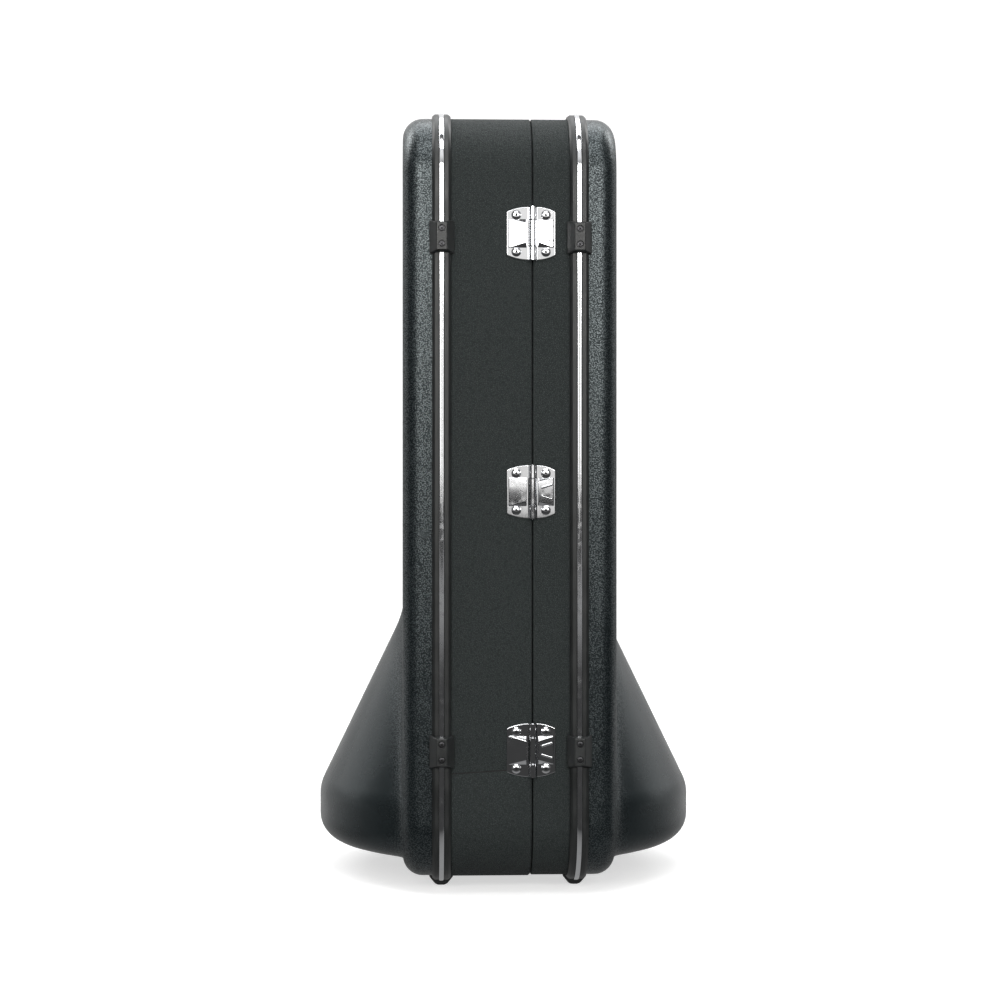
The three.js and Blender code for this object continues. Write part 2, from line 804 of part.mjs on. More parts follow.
// A bent wire through points in one plane, with mitred corners, and flat ends.
function wireOf(points, radius, sides) {
  const path = points.map((point) => new THREE.Vector3(...point));
  const normal = new THREE.Vector3()
    .crossVectors(path[1].clone().sub(path[0]), path[2].clone().sub(path[1]))
    .normalize();
  const rings = path.map((point, i) => {
    const before = path[Math.max(i - 1, 0)];
    const after = path[Math.min(i + 1, path.length - 1)];
    const into = (i ? point.clone().sub(before) : after.clone().sub(point)).normalize();
    const out = (i + 1 < path.length ? after.clone().sub(point) : into.clone()).normalize();
    const along = into.clone().add(out).normalize();
    const across = new THREE.Vector3().crossVectors(along, normal).normalize();
    const stretch = 1 / Math.max(along.dot(into), Number.EPSILON);
    return Array.from({ length: sides }, (_, k) => {
      const angle = (2 * Math.PI * (k + 0.5)) / sides;
      return point
        .clone()
        .addScaledVector(across, radius * Math.cos(angle) * stretch)
        .addScaledVector(normal, radius * Math.sin(angle))
        .toArray();
    });
  });
  return loftOf(rings.reverse());
}

// The bail about its pivot, in the pose that it has when the latch is shut.
function bailOf() {
  const pivotX = leverPivot[0] + bailPivot[0];
  const pivotY = leverPivot[1] + bailPivot[1];
  const reach = bailBarReach - pivotX;
  const rise = bailBarHeight - pivotY;
  const stub = cheekOuter - bailStubBite;
  const corner = 2 * bailWireRadius;
  const at = (share, z) => [reach * share, rise * share, z];
  const nearShare = corner / reach;
  const points = [
    at(0, stub),
    at(0, bailHalf - corner / 2),
    at(nearShare / 2, bailHalf),
    at(1 - nearShare, bailHalf),
    at(1, bailHalf - corner),
    at(1, corner - bailHalf),
    at(1 - nearShare, -bailHalf),
    at(nearShare / 2, -bailHalf),
    at(0, corner / 2 - bailHalf),
    at(0, -stub),
  ];
  return wireOf(points, bailWireRadius, 8);
}

function keeperOf() {
  const plate = leafPlateOf(
    leafOutline(keeperNear, keeperFar, keeperHalf, keeperEndHalf),
    seatGap,
    leafTop,
  );
  const toothFar = bailBarReach - bailWireRadius - toothGap;
  const tooth = boxOf(
    [toothFar - toothThickness, seatGap, -toothHalf],
    [toothFar, toothHeight, toothHalf],
  );
  const rivetZ = keeperEndHalf - latchRivetSide;
  const rivets = [-1, 1].map((way) => rivetOf(keeperFar - latchRivetEnd, leafTop, way * rivetZ));
  return join([plate, tooth, ...rivets]);
}

const caseMiddle = caseLength / 2;
const latchHeights = {
  bell_outer: latchEndInset,
  bell_inner: caseMiddle - latchHandleInset,
  tail_inner: caseMiddle + latchHandleInset,
  tail_outer: caseLength - latchEndInset,
};
for (const [station, height] of Object.entries(latchHeights)) {
  const latch = new THREE.Group();
  latch.position.set(splitPlane, caseWidth, height);
  model.add(latch);
  addMesh(`latch_${station}_plate`, latchPlateOf(), "chrome", latch);
  addMesh(`latch_${station}_keeper`, keeperOf(), "chrome", latch);
  const lever = new THREE.Group();
  lever.position.set(...leverPivot, 0);
  lever.rotation.z = -latchStandOff;
  latch.add(lever);
  addMesh(`latch_${station}_lever`, leverOf(), "chrome", lever);
  const bail = new THREE.Group();
  bail.position.set(...bailPivot, 0);
  bail.rotation.z = latchStandOff * bailTurnRatio;
  lever.add(bail);
  addMesh(`latch_${station}_bail`, bailOf(), "chrome", bail);
}

// Handle
// Made about its pivot line, folded towards the base's face: X across, Y out, Z along.

function gripOf() {
  const shoulder = handleHalf * handleShoulderShare;
  const rise = handleReach * handleRiseShare;
  const curve = new THREE.CatmullRomCurve3([
    new THREE.Vector3(-handleEyeRadius / 2, 0, -handleHalf),
    new THREE.Vector3(-rise, 0, -shoulder),
    new THREE.Vector3(-handleReach, 0, 0),
    new THREE.Vector3(-rise, 0, shoulder),
    new THREE.Vector3(-handleEyeRadius / 2, 0, handleHalf),
  ]);
  const section = new THREE.Shape(
    arcOf(0, 0, gripRadius, 0, 2 * Math.PI, handleSides)
      .slice(0, handleSides)
      .map(([x, y]) => new THREE.Vector2(x, y)),
  );
  const bar = new THREE.ExtrudeGeometry(section, { steps: handleSteps, extrudePath: curve });
  const eyes = [-1, 1].map((way) => {
    const middle = way * handleHalf;
    return rodOf(
      handleEyeRadius,
      0,
      0,
      middle - handleEyeLength / 2,
      middle + handleEyeLength / 2,
      handleSides,
    );
  });
  const reach = handleHalf + handleEyeLength;
  const boreRadius = mountPinRadius + mountPinClearance;
  const bore = rodOf(boreRadius, 0, 0, -reach, reach, smallRoundSides);
  const trims = [-1, 1].map((way) => {
    const from = way * (handleHalf + handleEyeLength / 2);
    const to = way * (handleHalf + handleEyeLength + gripRadius + overrun);
    const across = gripRadius + overrun;
    const low = [-handleReach, -across, Math.min(from, to)];
    return boxOf(low, [handleReach, across, Math.max(from, to)]);
  });
  const whole = join([solidOf(bar), ...eyes]);
  return trims.reduce((body, trim) => body.subtract(trim), whole).subtract(bore);
}

// A mount: foot plate, one ear outside the handle's eye, and the pin that it carries.
function mountOf(way) {
  const inner = handleEyeLength / 2 + mountGap;
  const outer = inner + mountEarThickness;
  const foot = leafPlateOf(
    [
      [-mountWidth / 2, inner],
      [mountWidth / 2, inner],
      [mountWidth / 2, inner + mountHeight],
      [-mountWidth / 2, inner + mountHeight],
    ].reverse(),
    seatGap,
    seatGap + mountThickness,
  );
  const ear = [
    [-mountEarFoot, seatGap],
    [mountEarFoot, seatGap],
    ...arcOf(0, handlePivotHeight, mountEarRadius, 0, Math.PI, earSteps),
  ];
  const pinEnd = -handleEyeLength / 2;
  const pin = rodOf(mountPinRadius, 0, handlePivotHeight, pinEnd, outer, smallRoundSides);
  const rivets = [-1, 1].map((side) =>
    rivetOf((side * mountWidth) / 4, seatGap + mountThickness, inner + mountHeight / 2 + mountGap),
  );
  const body = join([foot, plateOf(ear, inner, outer), pin, ...rivets]);
  return way > 0 ? body : body.mirror([0, 0, 1]);
}

const handle = new THREE.Group();
handle.position.set(handlePivotAcross, caseWidth, caseMiddle);
model.add(handle);
const grip = addMesh("handle_grip", gripOf(), "grip", handle);
grip.position.y = handlePivotHeight;
for (const [name, way] of Object.entries({ lower: -1, upper: 1 })) {
  const mount = addMesh(`handle_mount_${name}`, mountOf(way), "chrome", handle);
  mount.position.z = way * handleHalf;
}

// Nest for the instrument

const nestInset = frameWall + seatGap + liningThickness + nestGap;
const nestFaceInset = shellWall + seatGap + liningThickness + nestGap;
const nestFloor = halfThickness - nestFaceInset;

// A block of the base's inside between two heights, cut to the outline.
function nestBlockOf(nearDepth, farDepth, low, high) {
  const walls = bandOf(baseSide, nestInset, -nestTop, nestFloor);
  const stretch = boxOf([-nestFloor, nearDepth, low], [nestTop, farDepth, high]);
  return slabOf(baseSide, nestFaceInset, -nestTop).intersect(walls).intersect(stretch);
}

const nestHigh = caseLength - nestInset;
const tailLow = nestHigh - tailBlockLength;
const tailPocket = rodOf(tailPocketRadius, 0, 0, -caseThickness, caseThickness, pocketSides)
  .rotate([0, 90, 0])
  .translate([0, caseWidth / 2, nestHigh - tailPocketRadius - (tailBlockLength - tailPocketDepth) / 2]);
const mouthpieceBore = rodOf(mouthpieceRadius, 0, 0, nestTop - mouthpieceDepth, nestTop + overrun)
  .rotate([0, 90, 0])
  .translate([0, caseWidth / 2, nestHigh - (tailBlockLength - tailPocketDepth) / 4]);
addMesh(
  "tail_block",
  nestBlockOf(0, caseWidth, tailLow, caseLength).subtract(tailPocket).subtract(mouthpieceBore),
  "lining",
);
addMesh("bell_pad", nestBlockOf(0, caseWidth, 0, nestInset + bellPadLength), "lining");
const boxDepth = caseWidth - nestInset - boxReach;
const throatBlockReach = boxDepth - throatBlockAisle;
const throatLow = throatBlockLow - overrun;
const throatHigh = throatBlockHigh + overrun;
const throat = rodOf(throatRadius, 0, bellAxisDepth, throatLow, throatHigh, pocketSides);
addMesh(
  "throat_cradle",
  nestBlockOf(0, throatBlockReach, throatBlockLow, throatBlockHigh).subtract(throat),
  "lining",
);
const boxFar = caseWidth - nestInset;
const boxHollow = boxOf(
  [boxFloor - nestFloor, boxDepth + boxWall, boxLow + boxWall],
  [nestTop + overrun, boxFar - boxWall, boxHigh - boxWall],
);

// The box's lid turns on a pin along the wall nearest the spine, between two ears.
const boxPin = [nestTop + seatGap + boxLidEdgeRadius, boxDepth + boxLidEdgeRadius];
const boxLidLow = boxLow + boxEarThickness + boxEarGap;
const boxLidHigh = boxHigh - boxEarThickness - boxEarGap;
const boxPinBore = rodOf(
  boxLidPinRadius + boxLidPinClearance,
  ...boxPin,
  boxLow - overrun,
  boxHigh + overrun,
  smallRoundSides,
);

function boxEarOf(low) {
  const [x, y] = boxPin;
  const ear = [
    [nestTop - boxFloor, y - boxLidEdgeRadius],
    ...arcOf(x, y, boxLidEdgeRadius, -Math.PI / 2, Math.PI / 2, earSteps),
    [nestTop - boxFloor, y + boxLidEdgeRadius],
  ];
  return plateOf(ear, low, low + boxEarThickness);
}

addMesh(
  "accessory_box",
  nestBlockOf(boxDepth, caseWidth, boxLow, boxHigh)
    .subtract(boxHollow)
    .add(boxEarOf(boxLow))
    .add(boxEarOf(boxHigh - boxEarThickness))
    .subtract(boxPinBore),
  "lining",
);

function boxLidOf() {
  const [x, y] = boxPin;
  const under = nestTop + seatGap;
  const top = under + boxLidThickness;
  const knobDepth = boxFar - boxKnobInset;
  const knob = rodOf(boxKnobRadius, 0, 0, top - seatGap, top + boxKnobHeight)
    .rotate([0, 90, 0])
    .translate([0, knobDepth, (boxLow + boxHigh) / 2]);
  return boxOf([under, y, boxLidLow], [top, boxFar, boxLidHigh])
    .add(rodOf(boxLidEdgeRadius, x, y, boxLidLow, boxLidHigh))
    .add(knob)
    .subtract(boxPinBore);
}
addMesh("accessory_lid", boxLidOf(), "lining");
addMesh(
  "accessory_pin",
  rodOf(boxLidPinRadius, ...boxPin, boxLow + seatGap, boxHigh - seatGap, smallRoundSides),
  "chrome",
);

// The pad that holds the instrument down, on the lid's lining, its edges bevelled.
function lidPadOf() {
  const ring = (x, inset) => [
    [x, lidPadSideMargin + inset, lidPadLow + inset],
    [x, caseWidth - lidPadSideMargin - inset, lidPadLow + inset],
    [x, caseWidth - lidPadSideMargin - inset, caseLength - lidPadTailMargin - inset],
    [x, lidPadSideMargin + inset, caseLength - lidPadTailMargin - inset],
  ];
  const near = nestFloor - lidPadThickness;
  return loftOf([ring(near, lidPadEdge), ring(near + lidPadEdge, 0), ring(nestFloor, 0)]);
}
addMesh("lid_pad", lidPadOf(), "lining");

// Place the case on its own origin

const frontReach = clipHeight;
const rearReach = caseWidth + handlePivotHeight + gripRadius;
model.position.set(0, (frontReach - rearReach) / 2, clipHeight);

export default model;
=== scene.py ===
"""The looks of the euphonium case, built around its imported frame. All lengths are in metres."""
import json
import math

import bmesh
import bpy
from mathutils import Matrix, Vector


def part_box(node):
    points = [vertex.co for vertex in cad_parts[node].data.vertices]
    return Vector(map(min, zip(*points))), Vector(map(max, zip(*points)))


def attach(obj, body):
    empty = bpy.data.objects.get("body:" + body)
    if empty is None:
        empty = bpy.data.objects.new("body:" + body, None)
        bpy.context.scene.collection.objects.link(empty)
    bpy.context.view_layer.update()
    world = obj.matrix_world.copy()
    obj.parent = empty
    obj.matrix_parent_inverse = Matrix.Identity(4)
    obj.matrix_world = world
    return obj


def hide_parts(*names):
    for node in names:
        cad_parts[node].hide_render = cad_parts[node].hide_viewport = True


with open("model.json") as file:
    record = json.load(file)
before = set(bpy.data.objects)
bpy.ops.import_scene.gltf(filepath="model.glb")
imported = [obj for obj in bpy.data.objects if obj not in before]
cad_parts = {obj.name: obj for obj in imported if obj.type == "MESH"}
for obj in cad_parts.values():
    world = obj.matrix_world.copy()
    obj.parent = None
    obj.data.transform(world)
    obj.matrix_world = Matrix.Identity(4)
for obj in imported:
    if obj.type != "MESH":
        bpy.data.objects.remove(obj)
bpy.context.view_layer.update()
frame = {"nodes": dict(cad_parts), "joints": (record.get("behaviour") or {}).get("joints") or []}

MM = 0.001
HALVES = {"base": -1, "lid": 1}
HINGES = ("lower", "middle", "upper")
LATCHES = ("bell_outer", "bell_inner", "tail_inner", "tail_outer")

# The body, from the frame
SPINE_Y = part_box("base_frame")[0].y
LATCH_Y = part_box("base_frame")[1].y
BELL_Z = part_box("base_frame")[0].z
TAIL_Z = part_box("base_frame")[1].z
BASE_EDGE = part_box("base_frame")[1].x
LID_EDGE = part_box("lid_frame")[0].x
BULGE_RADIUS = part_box("lid_shell")[1].x

# The body, in sizes that a box doesn't give
SPINE_CORNER = 60 * MM
LATCH_CORNER = 95 * MM
FLAT_FACE = 106 * MM
FACE_EDGE = 20 * MM
SHELL_WALL = 3.2 * MM
FRAME_WALL = 8 * MM
TRIM_CENTRE = 67.5 * MM
SHELL_RIM = 68.6 * MM
FRAME_RIM = 66.4 * MM
BULGE_AXIS_Y = SPINE_Y + 185 * MM
BULGE_FLOOR_Z = BELL_Z + 19 * MM
BULGE_FLOOR_EDGE = 27 * MM
BULGE_CREASE_Z = BELL_Z + 76 * MM
BULGE_CREASE_SOFTNESS = 9 * MM
BULGE_SLOPE = 0.485
LINING_SKIN = 3.5 * MM
LINING_SIDE = 8.3 * MM
LINING_THICKNESS = 4 * MM
CORNER_STEPS = 22
EDGE_STEPS = 8
CREASE_STEPS = 6
BULGE_STEPS = 96
BULGE_TIP = 0.6 * MM
CONE_STEPS = 26
BLEND_REACH = 9 * MM
SKIN_LIFT = 0.05 * MM
SKIN_THICKNESS = 0.8 * MM


# Mesh helpers

SMOOTH_ANGLE = 35
SOFTENED_ANGLE = 40
WELD = 1e-6
NODE_WELD = 2e-6
FLAT_ANGLE = math.radians(1)
SIDE_SHARE = 0.49


def smooth_over(bm, angle):
    """Smooth shading, but for edges sharper than angle in degrees."""
    for face in bm.faces:
        face.smooth = True
    for edge in bm.edges:
        if len(edge.link_faces) == 2:
            edge.smooth = edge.calc_face_angle() < math.radians(angle)


def placed(name, data):
    """A new object with this data, in the scene."""
    obj = bpy.data.objects.new(name, data)
    bpy.context.scene.collection.objects.link(obj)
    return obj


def add_object(name, bm, materials, body=None, angle=SMOOTH_ANGLE):
    """A mesh object from bm, riding on a body if one is given."""
    bmesh.ops.recalc_face_normals(bm, faces=bm.faces)
    smooth_over(bm, angle)
    mesh = bpy.data.meshes.new(name)
    bm.to_mesh(mesh)
    bm.free()
    for material in materials:
        mesh.materials.append(material)
    obj = placed(name, mesh)
    if body:
        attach(obj, body)
    return obj


def lofted(name, rings, material, body=None, angle=SMOOTH_ANGLE, **how):
    """An object with faces through rings of points."""
    bm = bmesh.new()
    skin(bm, rings, **how)
    return add_object(name, bm, [material], body, angle)


def mm(points):
    """Pairs given in millimetres, in metres."""
    return [(a * MM, b * MM) for a, b in points]


def arc(y, z, radius, start, turn, steps):
    """Points on an arc, both ends included. Angles in quarter turns."""
    angles = [(start + turn * i / steps) * math.pi / 2 for i in range(steps + 1)]
    return [(y + radius * math.cos(a), z + radius * math.sin(a)) for a in angles]


def around(count):
    """Angles spread evenly over a full turn."""
    return [2 * math.pi * i / count for i in range(count)]


def circle(centre, first, second, radius, angles):
    """Points about a centre, at angles from the direction first towards second."""
    return [centre + (first * math.cos(a) + second * math.sin(a)) * radius for a in angles]


def rounding(radius, steps):
    """How far in and how far down a rounded edge lies, step by step from its flank to its top."""
    angles = [math.pi / 2 * step / steps for step in range(steps + 1)]
    return [(radius * (1 - math.cos(a)), radius * (1 - math.sin(a))) for a in angles]


def outline(inset):
    """The body's outline in Y and Z, moved inwards by inset, from the spine's bell end round."""
    spine, latch = SPINE_CORNER, LATCH_CORNER
    corners = (
        (SPINE_Y + spine, BELL_Z + spine, spine, 2), (LATCH_Y - latch, BELL_Z + latch, latch, 3),
        (LATCH_Y - latch, TAIL_Z - latch, latch, 0), (SPINE_Y + spine, TAIL_Z - spine, spine, 1),
    )
    arcs = [arc(y, z, radius - inset, start, 1, CORNER_STEPS) for y, z, radius, start in corners]
    return [spot for corner in arcs for spot in corner]


def open_outline(inset, low, high):
    """The outline from a height low on the spine, round the bell end and back to a height high."""
    return [(SPINE_Y + inset, low)] + outline(inset) + [(SPINE_Y + inset, high)]


def skin(bm, rings, closed_loft=False, sheet=False, material=0):
    """Faces through rings of points. A closed loft ends where it began. A sheet's rings are open."""
    rows = [[bm.verts.new(p) for p in ring] for ring in rings]
    count = len(rows[0])
    for a, b in zip(rows, rows[1:] + rows[:1] if closed_loft else rows[1:]):
        for i in range(count - 1 if sheet else count):
            j = (i + 1) % count
            bm.faces.new((a[i], a[j], b[j], b[i])).material_index = material
    if not (sheet or closed_loft):
        bm.faces.new(rows[0]).material_index = material
        bm.faces.new(list(reversed(rows[-1]))).material_index = material


def hoop(name, section, material, body, path=outline):
    """A closed section of (x, height) points carried round the outline, or along an open path of it."""
    rings = [[(x, y, z) for y, z in path(-height)] for x, height in section]
    by_place = [list(column) for column in zip(*rings)]
    return lofted(name, by_place, material, body, closed_loft=path is outline)


def fillet(points, radii, steps=4):
    """A closed polygon with its corners rounded, each by its own radius."""
    out = []
    count = len(points)
    for i, (point, radius) in enumerate(zip(points, radii)):
        here = Vector(point)
        if radius <= 0:
            out.append(tuple(here))
            continue
        before, after = Vector(points[i - 1]) - here, Vector(points[(i + 1) % count]) - here
        into, away = before.normalized(), after.normalized()
        half = into.angle(away) / 2
        reach = min(radius / math.tan(half), before.length * SIDE_SHARE, after.length * SIDE_SHARE)
        true_radius = reach * math.tan(half)
        centre = here + (into + away).normalized() * (true_radius / math.sin(half))
        start, end = here + into * reach - centre, here + away * reach - centre
        for step in range(steps + 1):
            spoke = start + (end - start) * (step / steps)
            out.append(tuple(centre + spoke.normalized() * true_radius))
    return out


def modified(obj, kind, **settings):
    """The object after one modifier of this kind."""
    modifier = obj.modifiers.new(kind, kind)
    for key, value in settings.items():
        setattr(modifier, key, value)
    graph = bpy.context.evaluated_depsgraph_get()
    mesh = bpy.data.meshes.new_from_object(obj.evaluated_get(graph))
    obj.modifiers.clear()
    obj.data = mesh
    return obj


def boolean(target, tool, operation):
    """target changed by tool, which is then deleted."""
    modified(target, "BOOLEAN", operation=operation, object=tool, solver="EXACT")
    bpy.data.objects.remove(tool)
    return target


def weigh(obj):
    """Normals by face area, so that flat faces shade flat right up to their rounded edges."""
    return modified(obj, "WEIGHTED_NORMAL", keep_sharp=True)


def settle(obj, angle):
    """Weld points that lie together, smooth every edge less sharp than angle, and weigh the normals."""
    bm = bmesh.new()
    bm.from_mesh(obj.data)
    bmesh.ops.remove_doubles(bm, verts=bm.verts, dist=WELD)
    smooth_over(bm, angle)
    bm.to_mesh(obj.data)
    bm.free()
    return weigh(obj)


def soften(obj, width, segments, angle):
    """Round every edge sharper than angle, in degrees."""
    modified(obj, "BEVEL", width=width, segments=segments, limit_method="ANGLE",
             angle_limit=math.radians(angle), miter_outer="MITER_ARC")
    return settle(obj, SOFTENED_ANGLE)


def from_node(node, name, material, body, width, segments=2, angle=36):
    """A finer copy of a CAD node: its flat faces made whole, and its edges rounded."""
    bm = bmesh.new()
    bm.from_mesh(frame["nodes"][node].data)
    bmesh.ops.remove_doubles(bm, verts=bm.verts, dist=NODE_WELD)
    bmesh.ops.dissolve_limit(bm, angle_limit=FLAT_ANGLE, verts=bm.verts, edges=bm.edges, delimit=set())
    obj = add_object(name, bm, [material], body)
    soften(obj, width, segments, angle)
    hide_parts(node)
    return obj


# Materials

def wire(tree, node, **inputs):
    """Links or sets a node's sockets: by name, with _ for a space, or as i0, i1 and so on by place."""
    for key, value in inputs.items():
        socket = node.inputs[int(key[1:]) if key[1:].isdigit() else key.replace("_", " ")]
        if isinstance(value, bpy.types.NodeSocket):
            tree.links.new(value, socket)
        else:
            socket.default_value = value
    return node


def add_node(tree, kind, settings=None, **inputs):
    node = tree.nodes.new(kind)
    for key, value in (settings or {}).items():
        setattr(node, key, value)
    return wire(tree, node, **inputs)


def new_material(name, color, roughness, metallic=0.0):
    """A Principled material, its node tree and shader, and the surface point in the object's frame."""
    material = bpy.data.materials.new(name)
    material.use_nodes = True
    tree = material.node_tree
    shader = tree.nodes["Principled BSDF"]
    wire(tree, shader, Base_Color=(*color, 1), Roughness=roughness, Metallic=metallic)
    return material, tree, shader, tree.nodes.new("ShaderNodeTexCoord").outputs["Object"]


def noise(tree, where, scale, detail=2.0, roughness=0.5):
    node = add_node(tree, "ShaderNodeTexNoise", Vector=where, Scale=scale, Detail=detail, Roughness=roughness)
    return node.outputs["Fac"]


def cells(tree, where, scale, feature="F1"):
    node = add_node(tree, "ShaderNodeTexVoronoi", {"feature": feature}, Vector=where, Scale=scale)
    return node.outputs["Distance"]


def remap(tree, value, low, high, out_low=0.0, out_high=1.0):
    """out_low below low, out_high above high, and an eased step between them."""
    node = add_node(tree, "ShaderNodeMapRange", {"interpolation_type": "SMOOTHSTEP"},
                    Value=value, From_Min=low, From_Max=high, To_Min=out_low, To_Max=out_high)
    return node.outputs["Result"]


def combine(tree, operation, a, b=0.0):
    return add_node(tree, "ShaderNodeMath", {"operation": operation}, i0=a, i1=b).outputs["Value"]


def blend_of(tree, kind, factor, first, second):
    """Between first and second, which are colours (RGBA) or vectors (VECTOR)."""
    node = add_node(tree, "ShaderNodeMix", {"data_type": kind}, Factor=factor, A=first, B=second)
    return node.outputs["Result"]


def tint(tree, factor, first, second):
    return blend_of(tree, "RGBA", factor, (*first, 1), (*second, 1))


def split_xyz(tree, vector):
    return add_node(tree, "ShaderNodeSeparateXYZ", Vector=vector).outputs


def mix_shaders(tree, factor, first, second):
    return add_node(tree, "ShaderNodeMixShader", i0=factor, i1=first.outputs[0], i2=second.outputs[0])


def bump(tree, height, distance, strength):
    node = add_node(tree, "ShaderNodeBump", Height=height, Distance=distance, Strength=strength)
    return node.outputs["Normal"]


PEBBLE_SCALE = 740
CRUMB_SCALE = 1450
CRUMB_SHARE = 0.4
BULGE_GRAIN = 0.12
BULGE_GLINT = 0.38
SHELL_COLORS = ((0.0034, 0.0054, 0.0062), (0.0056, 0.008, 0.0088))
SHELL_PATCHES = (0.3, 0.7)
SHELL_SHEEN = (0.3, 0.7, 0.22, 0.28)
SIDEWAYS_SHEEN = (0.6, 0.97, 0.05, 0.24)
PIT_GLINT = (0.32, 0.86, 1.25, 0.2)


def shell_material():
    """Formed plastic sheet with a pebbled grain, finer and shallower where the bulge stretched it."""
    material, tree, shader, where = new_material("pebbled_shell", (0.02, 0.021, 0.021), 0.32)
    crumbs = combine(tree, "MULTIPLY", cells(tree, where, CRUMB_SCALE), CRUMB_SHARE)
    height = combine(tree, "ADD", cells(tree, where, PEBBLE_SCALE), crumbs)
    across = combine(tree, "ABSOLUTE", split_xyz(tree, where)["X"])
    stretch = remap(tree, across, FLAT_FACE, FLAT_FACE + FACE_EDGE, 1.0, BULGE_GRAIN)
    sunk = combine(tree, "MULTIPLY", height, combine(tree, "MULTIPLY", stretch, -1.0))
    # What lies deep between the pebbles mirrors less, so that the grain shows where light is flat
    glint = combine(tree, "MULTIPLY", remap(tree, height, *PIT_GLINT), stretch)
    smooth = combine(tree, "MULTIPLY", combine(tree, "SUBTRACT", 1.0, stretch), BULGE_GLINT)
    patches = remap(tree, noise(tree, where, 9, 3), *SHELL_PATCHES)
    sheen = remap(tree, noise(tree, where, 35, 3), *SHELL_SHEEN)
    facing = split_xyz(tree, tree.nodes.new("ShaderNodeTexCoord").outputs["Normal"])
    sideways = remap(tree, combine(tree, "ABSOLUTE", facing["X"]), *SIDEWAYS_SHEEN)
    wire(
        tree, shader, IOR=1.62, Specular_Tint=(0.86, 0.97, 1, 1),
        Normal=bump(tree, sunk, 0.00018, 0.7),
        Specular_IOR_Level=combine(tree, "ADD", glint, smooth),
        Base_Color=tint(tree, patches, *SHELL_COLORS),
        Roughness=combine(tree, "ADD", sheen, combine(tree, "MULTIPLY", stretch, sideways)),
    )
    return material


GRAIN_SCALE = 640
GRAIN_WARP = 0.0012
GRAIN_CREASE = (0.02, 0.32)
GRAIN_TONE_AND_CREASE_SHADE = ((0.008, 0.0116, 0.0116), (0.0188, 0.0256, 0.025))


def covering_material():
    """Vinyl with a leather grain: small rounded cells between creases, over a slow unevenness."""
    material, tree, shader, where = new_material("leather_grain", (0.024, 0.025, 0.026), 0.72)
    warp = add_node(tree, "ShaderNodeTexNoise", Vector=where, Scale=240.0, Detail=2.0)
    bent = blend_of(tree, "VECTOR", GRAIN_WARP, where, warp.outputs["Color"])
    swell = remap(tree, cells(tree, bent, GRAIN_SCALE, "DISTANCE_TO_EDGE"), *GRAIN_CREASE)
    slow = combine(tree, "MULTIPLY", noise(tree, where, 60, 3), 0.8)
    fine = combine(tree, "MULTIPLY", noise(tree, where, 1800), 0.2)
    height = combine(tree, "ADD", combine(tree, "ADD", swell, slow), fine)
    wire(
        tree, shader, Normal=bump(tree, height, 0.0005, 0.7), Specular_IOR_Level=0.4,
        # Darker in the creases and lighter on the cells: partly the grain's own tone, partly painted shade
        Base_Color=tint(tree, swell, *GRAIN_TONE_AND_CREASE_SHADE),
        Roughness=remap(tree, swell, 0.0, 1.0, 0.85, 0.62),
    )
    return material


def plastic_material(name, color, roughness):
    """Moulded or extruded plastic: satin, with faint flow marks and handling dulling."""
    material, tree, shader, where = new_material(name, color, roughness)
    marks = noise(tree, where, 55, 4)
    lighter = [c * 1.35 for c in color]
    wire(
        tree, shader, Normal=bump(tree, noise(tree, where, 900, 3), 0.00008, 0.4),
        Base_Color=tint(tree, remap(tree, marks, 0.35, 0.7), color, lighter),
        Roughness=remap(tree, marks, 0.3, 0.75, roughness - 0.06, roughness + 0.1),
    )
    return material


def chrome_material(name, roughness, color=(0.8, 0.81, 0.83), wave=0.015):
    """Bright plating with slight unevenness and a few dulled patches."""
    material, tree, shader, where = new_material(name, color, roughness, 1.0)
    dull = noise(tree, where, 130, 4)
    darker = [c * 0.85 for c in color]
    wire(
        tree, shader, Normal=bump(tree, noise(tree, where, 110, 1), 0.0004, wave),
        Base_Color=tint(tree, remap(tree, dull, 0.55, 0.85), color, darker),
        Roughness=remap(tree, dull, 0.45, 0.8, roughness, roughness + 0.12),
    )
    return material


def plush_material(name, color):
    """Short plush: fine fibres, crushed in patches, with a sheen."""
    material, tree, shader, where = new_material(name, color, 0.95)
    fibres = noise(tree, where, 2200, 3, 0.7)
    crush = noise(tree, where, 38, 4)
    height = combine(tree, "ADD", fibres, combine(tree, "MULTIPLY", crush, 1.4))
    pale = [c * 2.1 for c in color]
    mix = combine(tree, "MULTIPLY", remap(tree, fibres, 0.3, 0.75), remap(tree, crush, 0.25, 0.75, 0.35, 1.0))
    wire(
        tree, shader, Normal=bump(tree, height, 0.0006, 0.8), Base_Color=tint(tree, mix, color, pale),
        Sheen_Weight=0.35, Sheen_Roughness=0.4,
    )
    return material


FLOOR_LIFT = 0.6
FLOOR_GREYS = ([0.55] * 3, [0.57] * 3)

# What glossy parts see of it, a glow of painted reflection: from and to a distance or a place, then how
# bright it is at both
FLOOR_UNDER = (0.18, 0.5, 0.3, 0.0)
FLOOR_BEHIND = (-0.4, 0.35, 0.05, 0.6)
FLOOR_FAR = (1.8, 5.5, 0.0, 0.3)
BACKDROP = (0.0, 1.6, 0.0, 1.0)


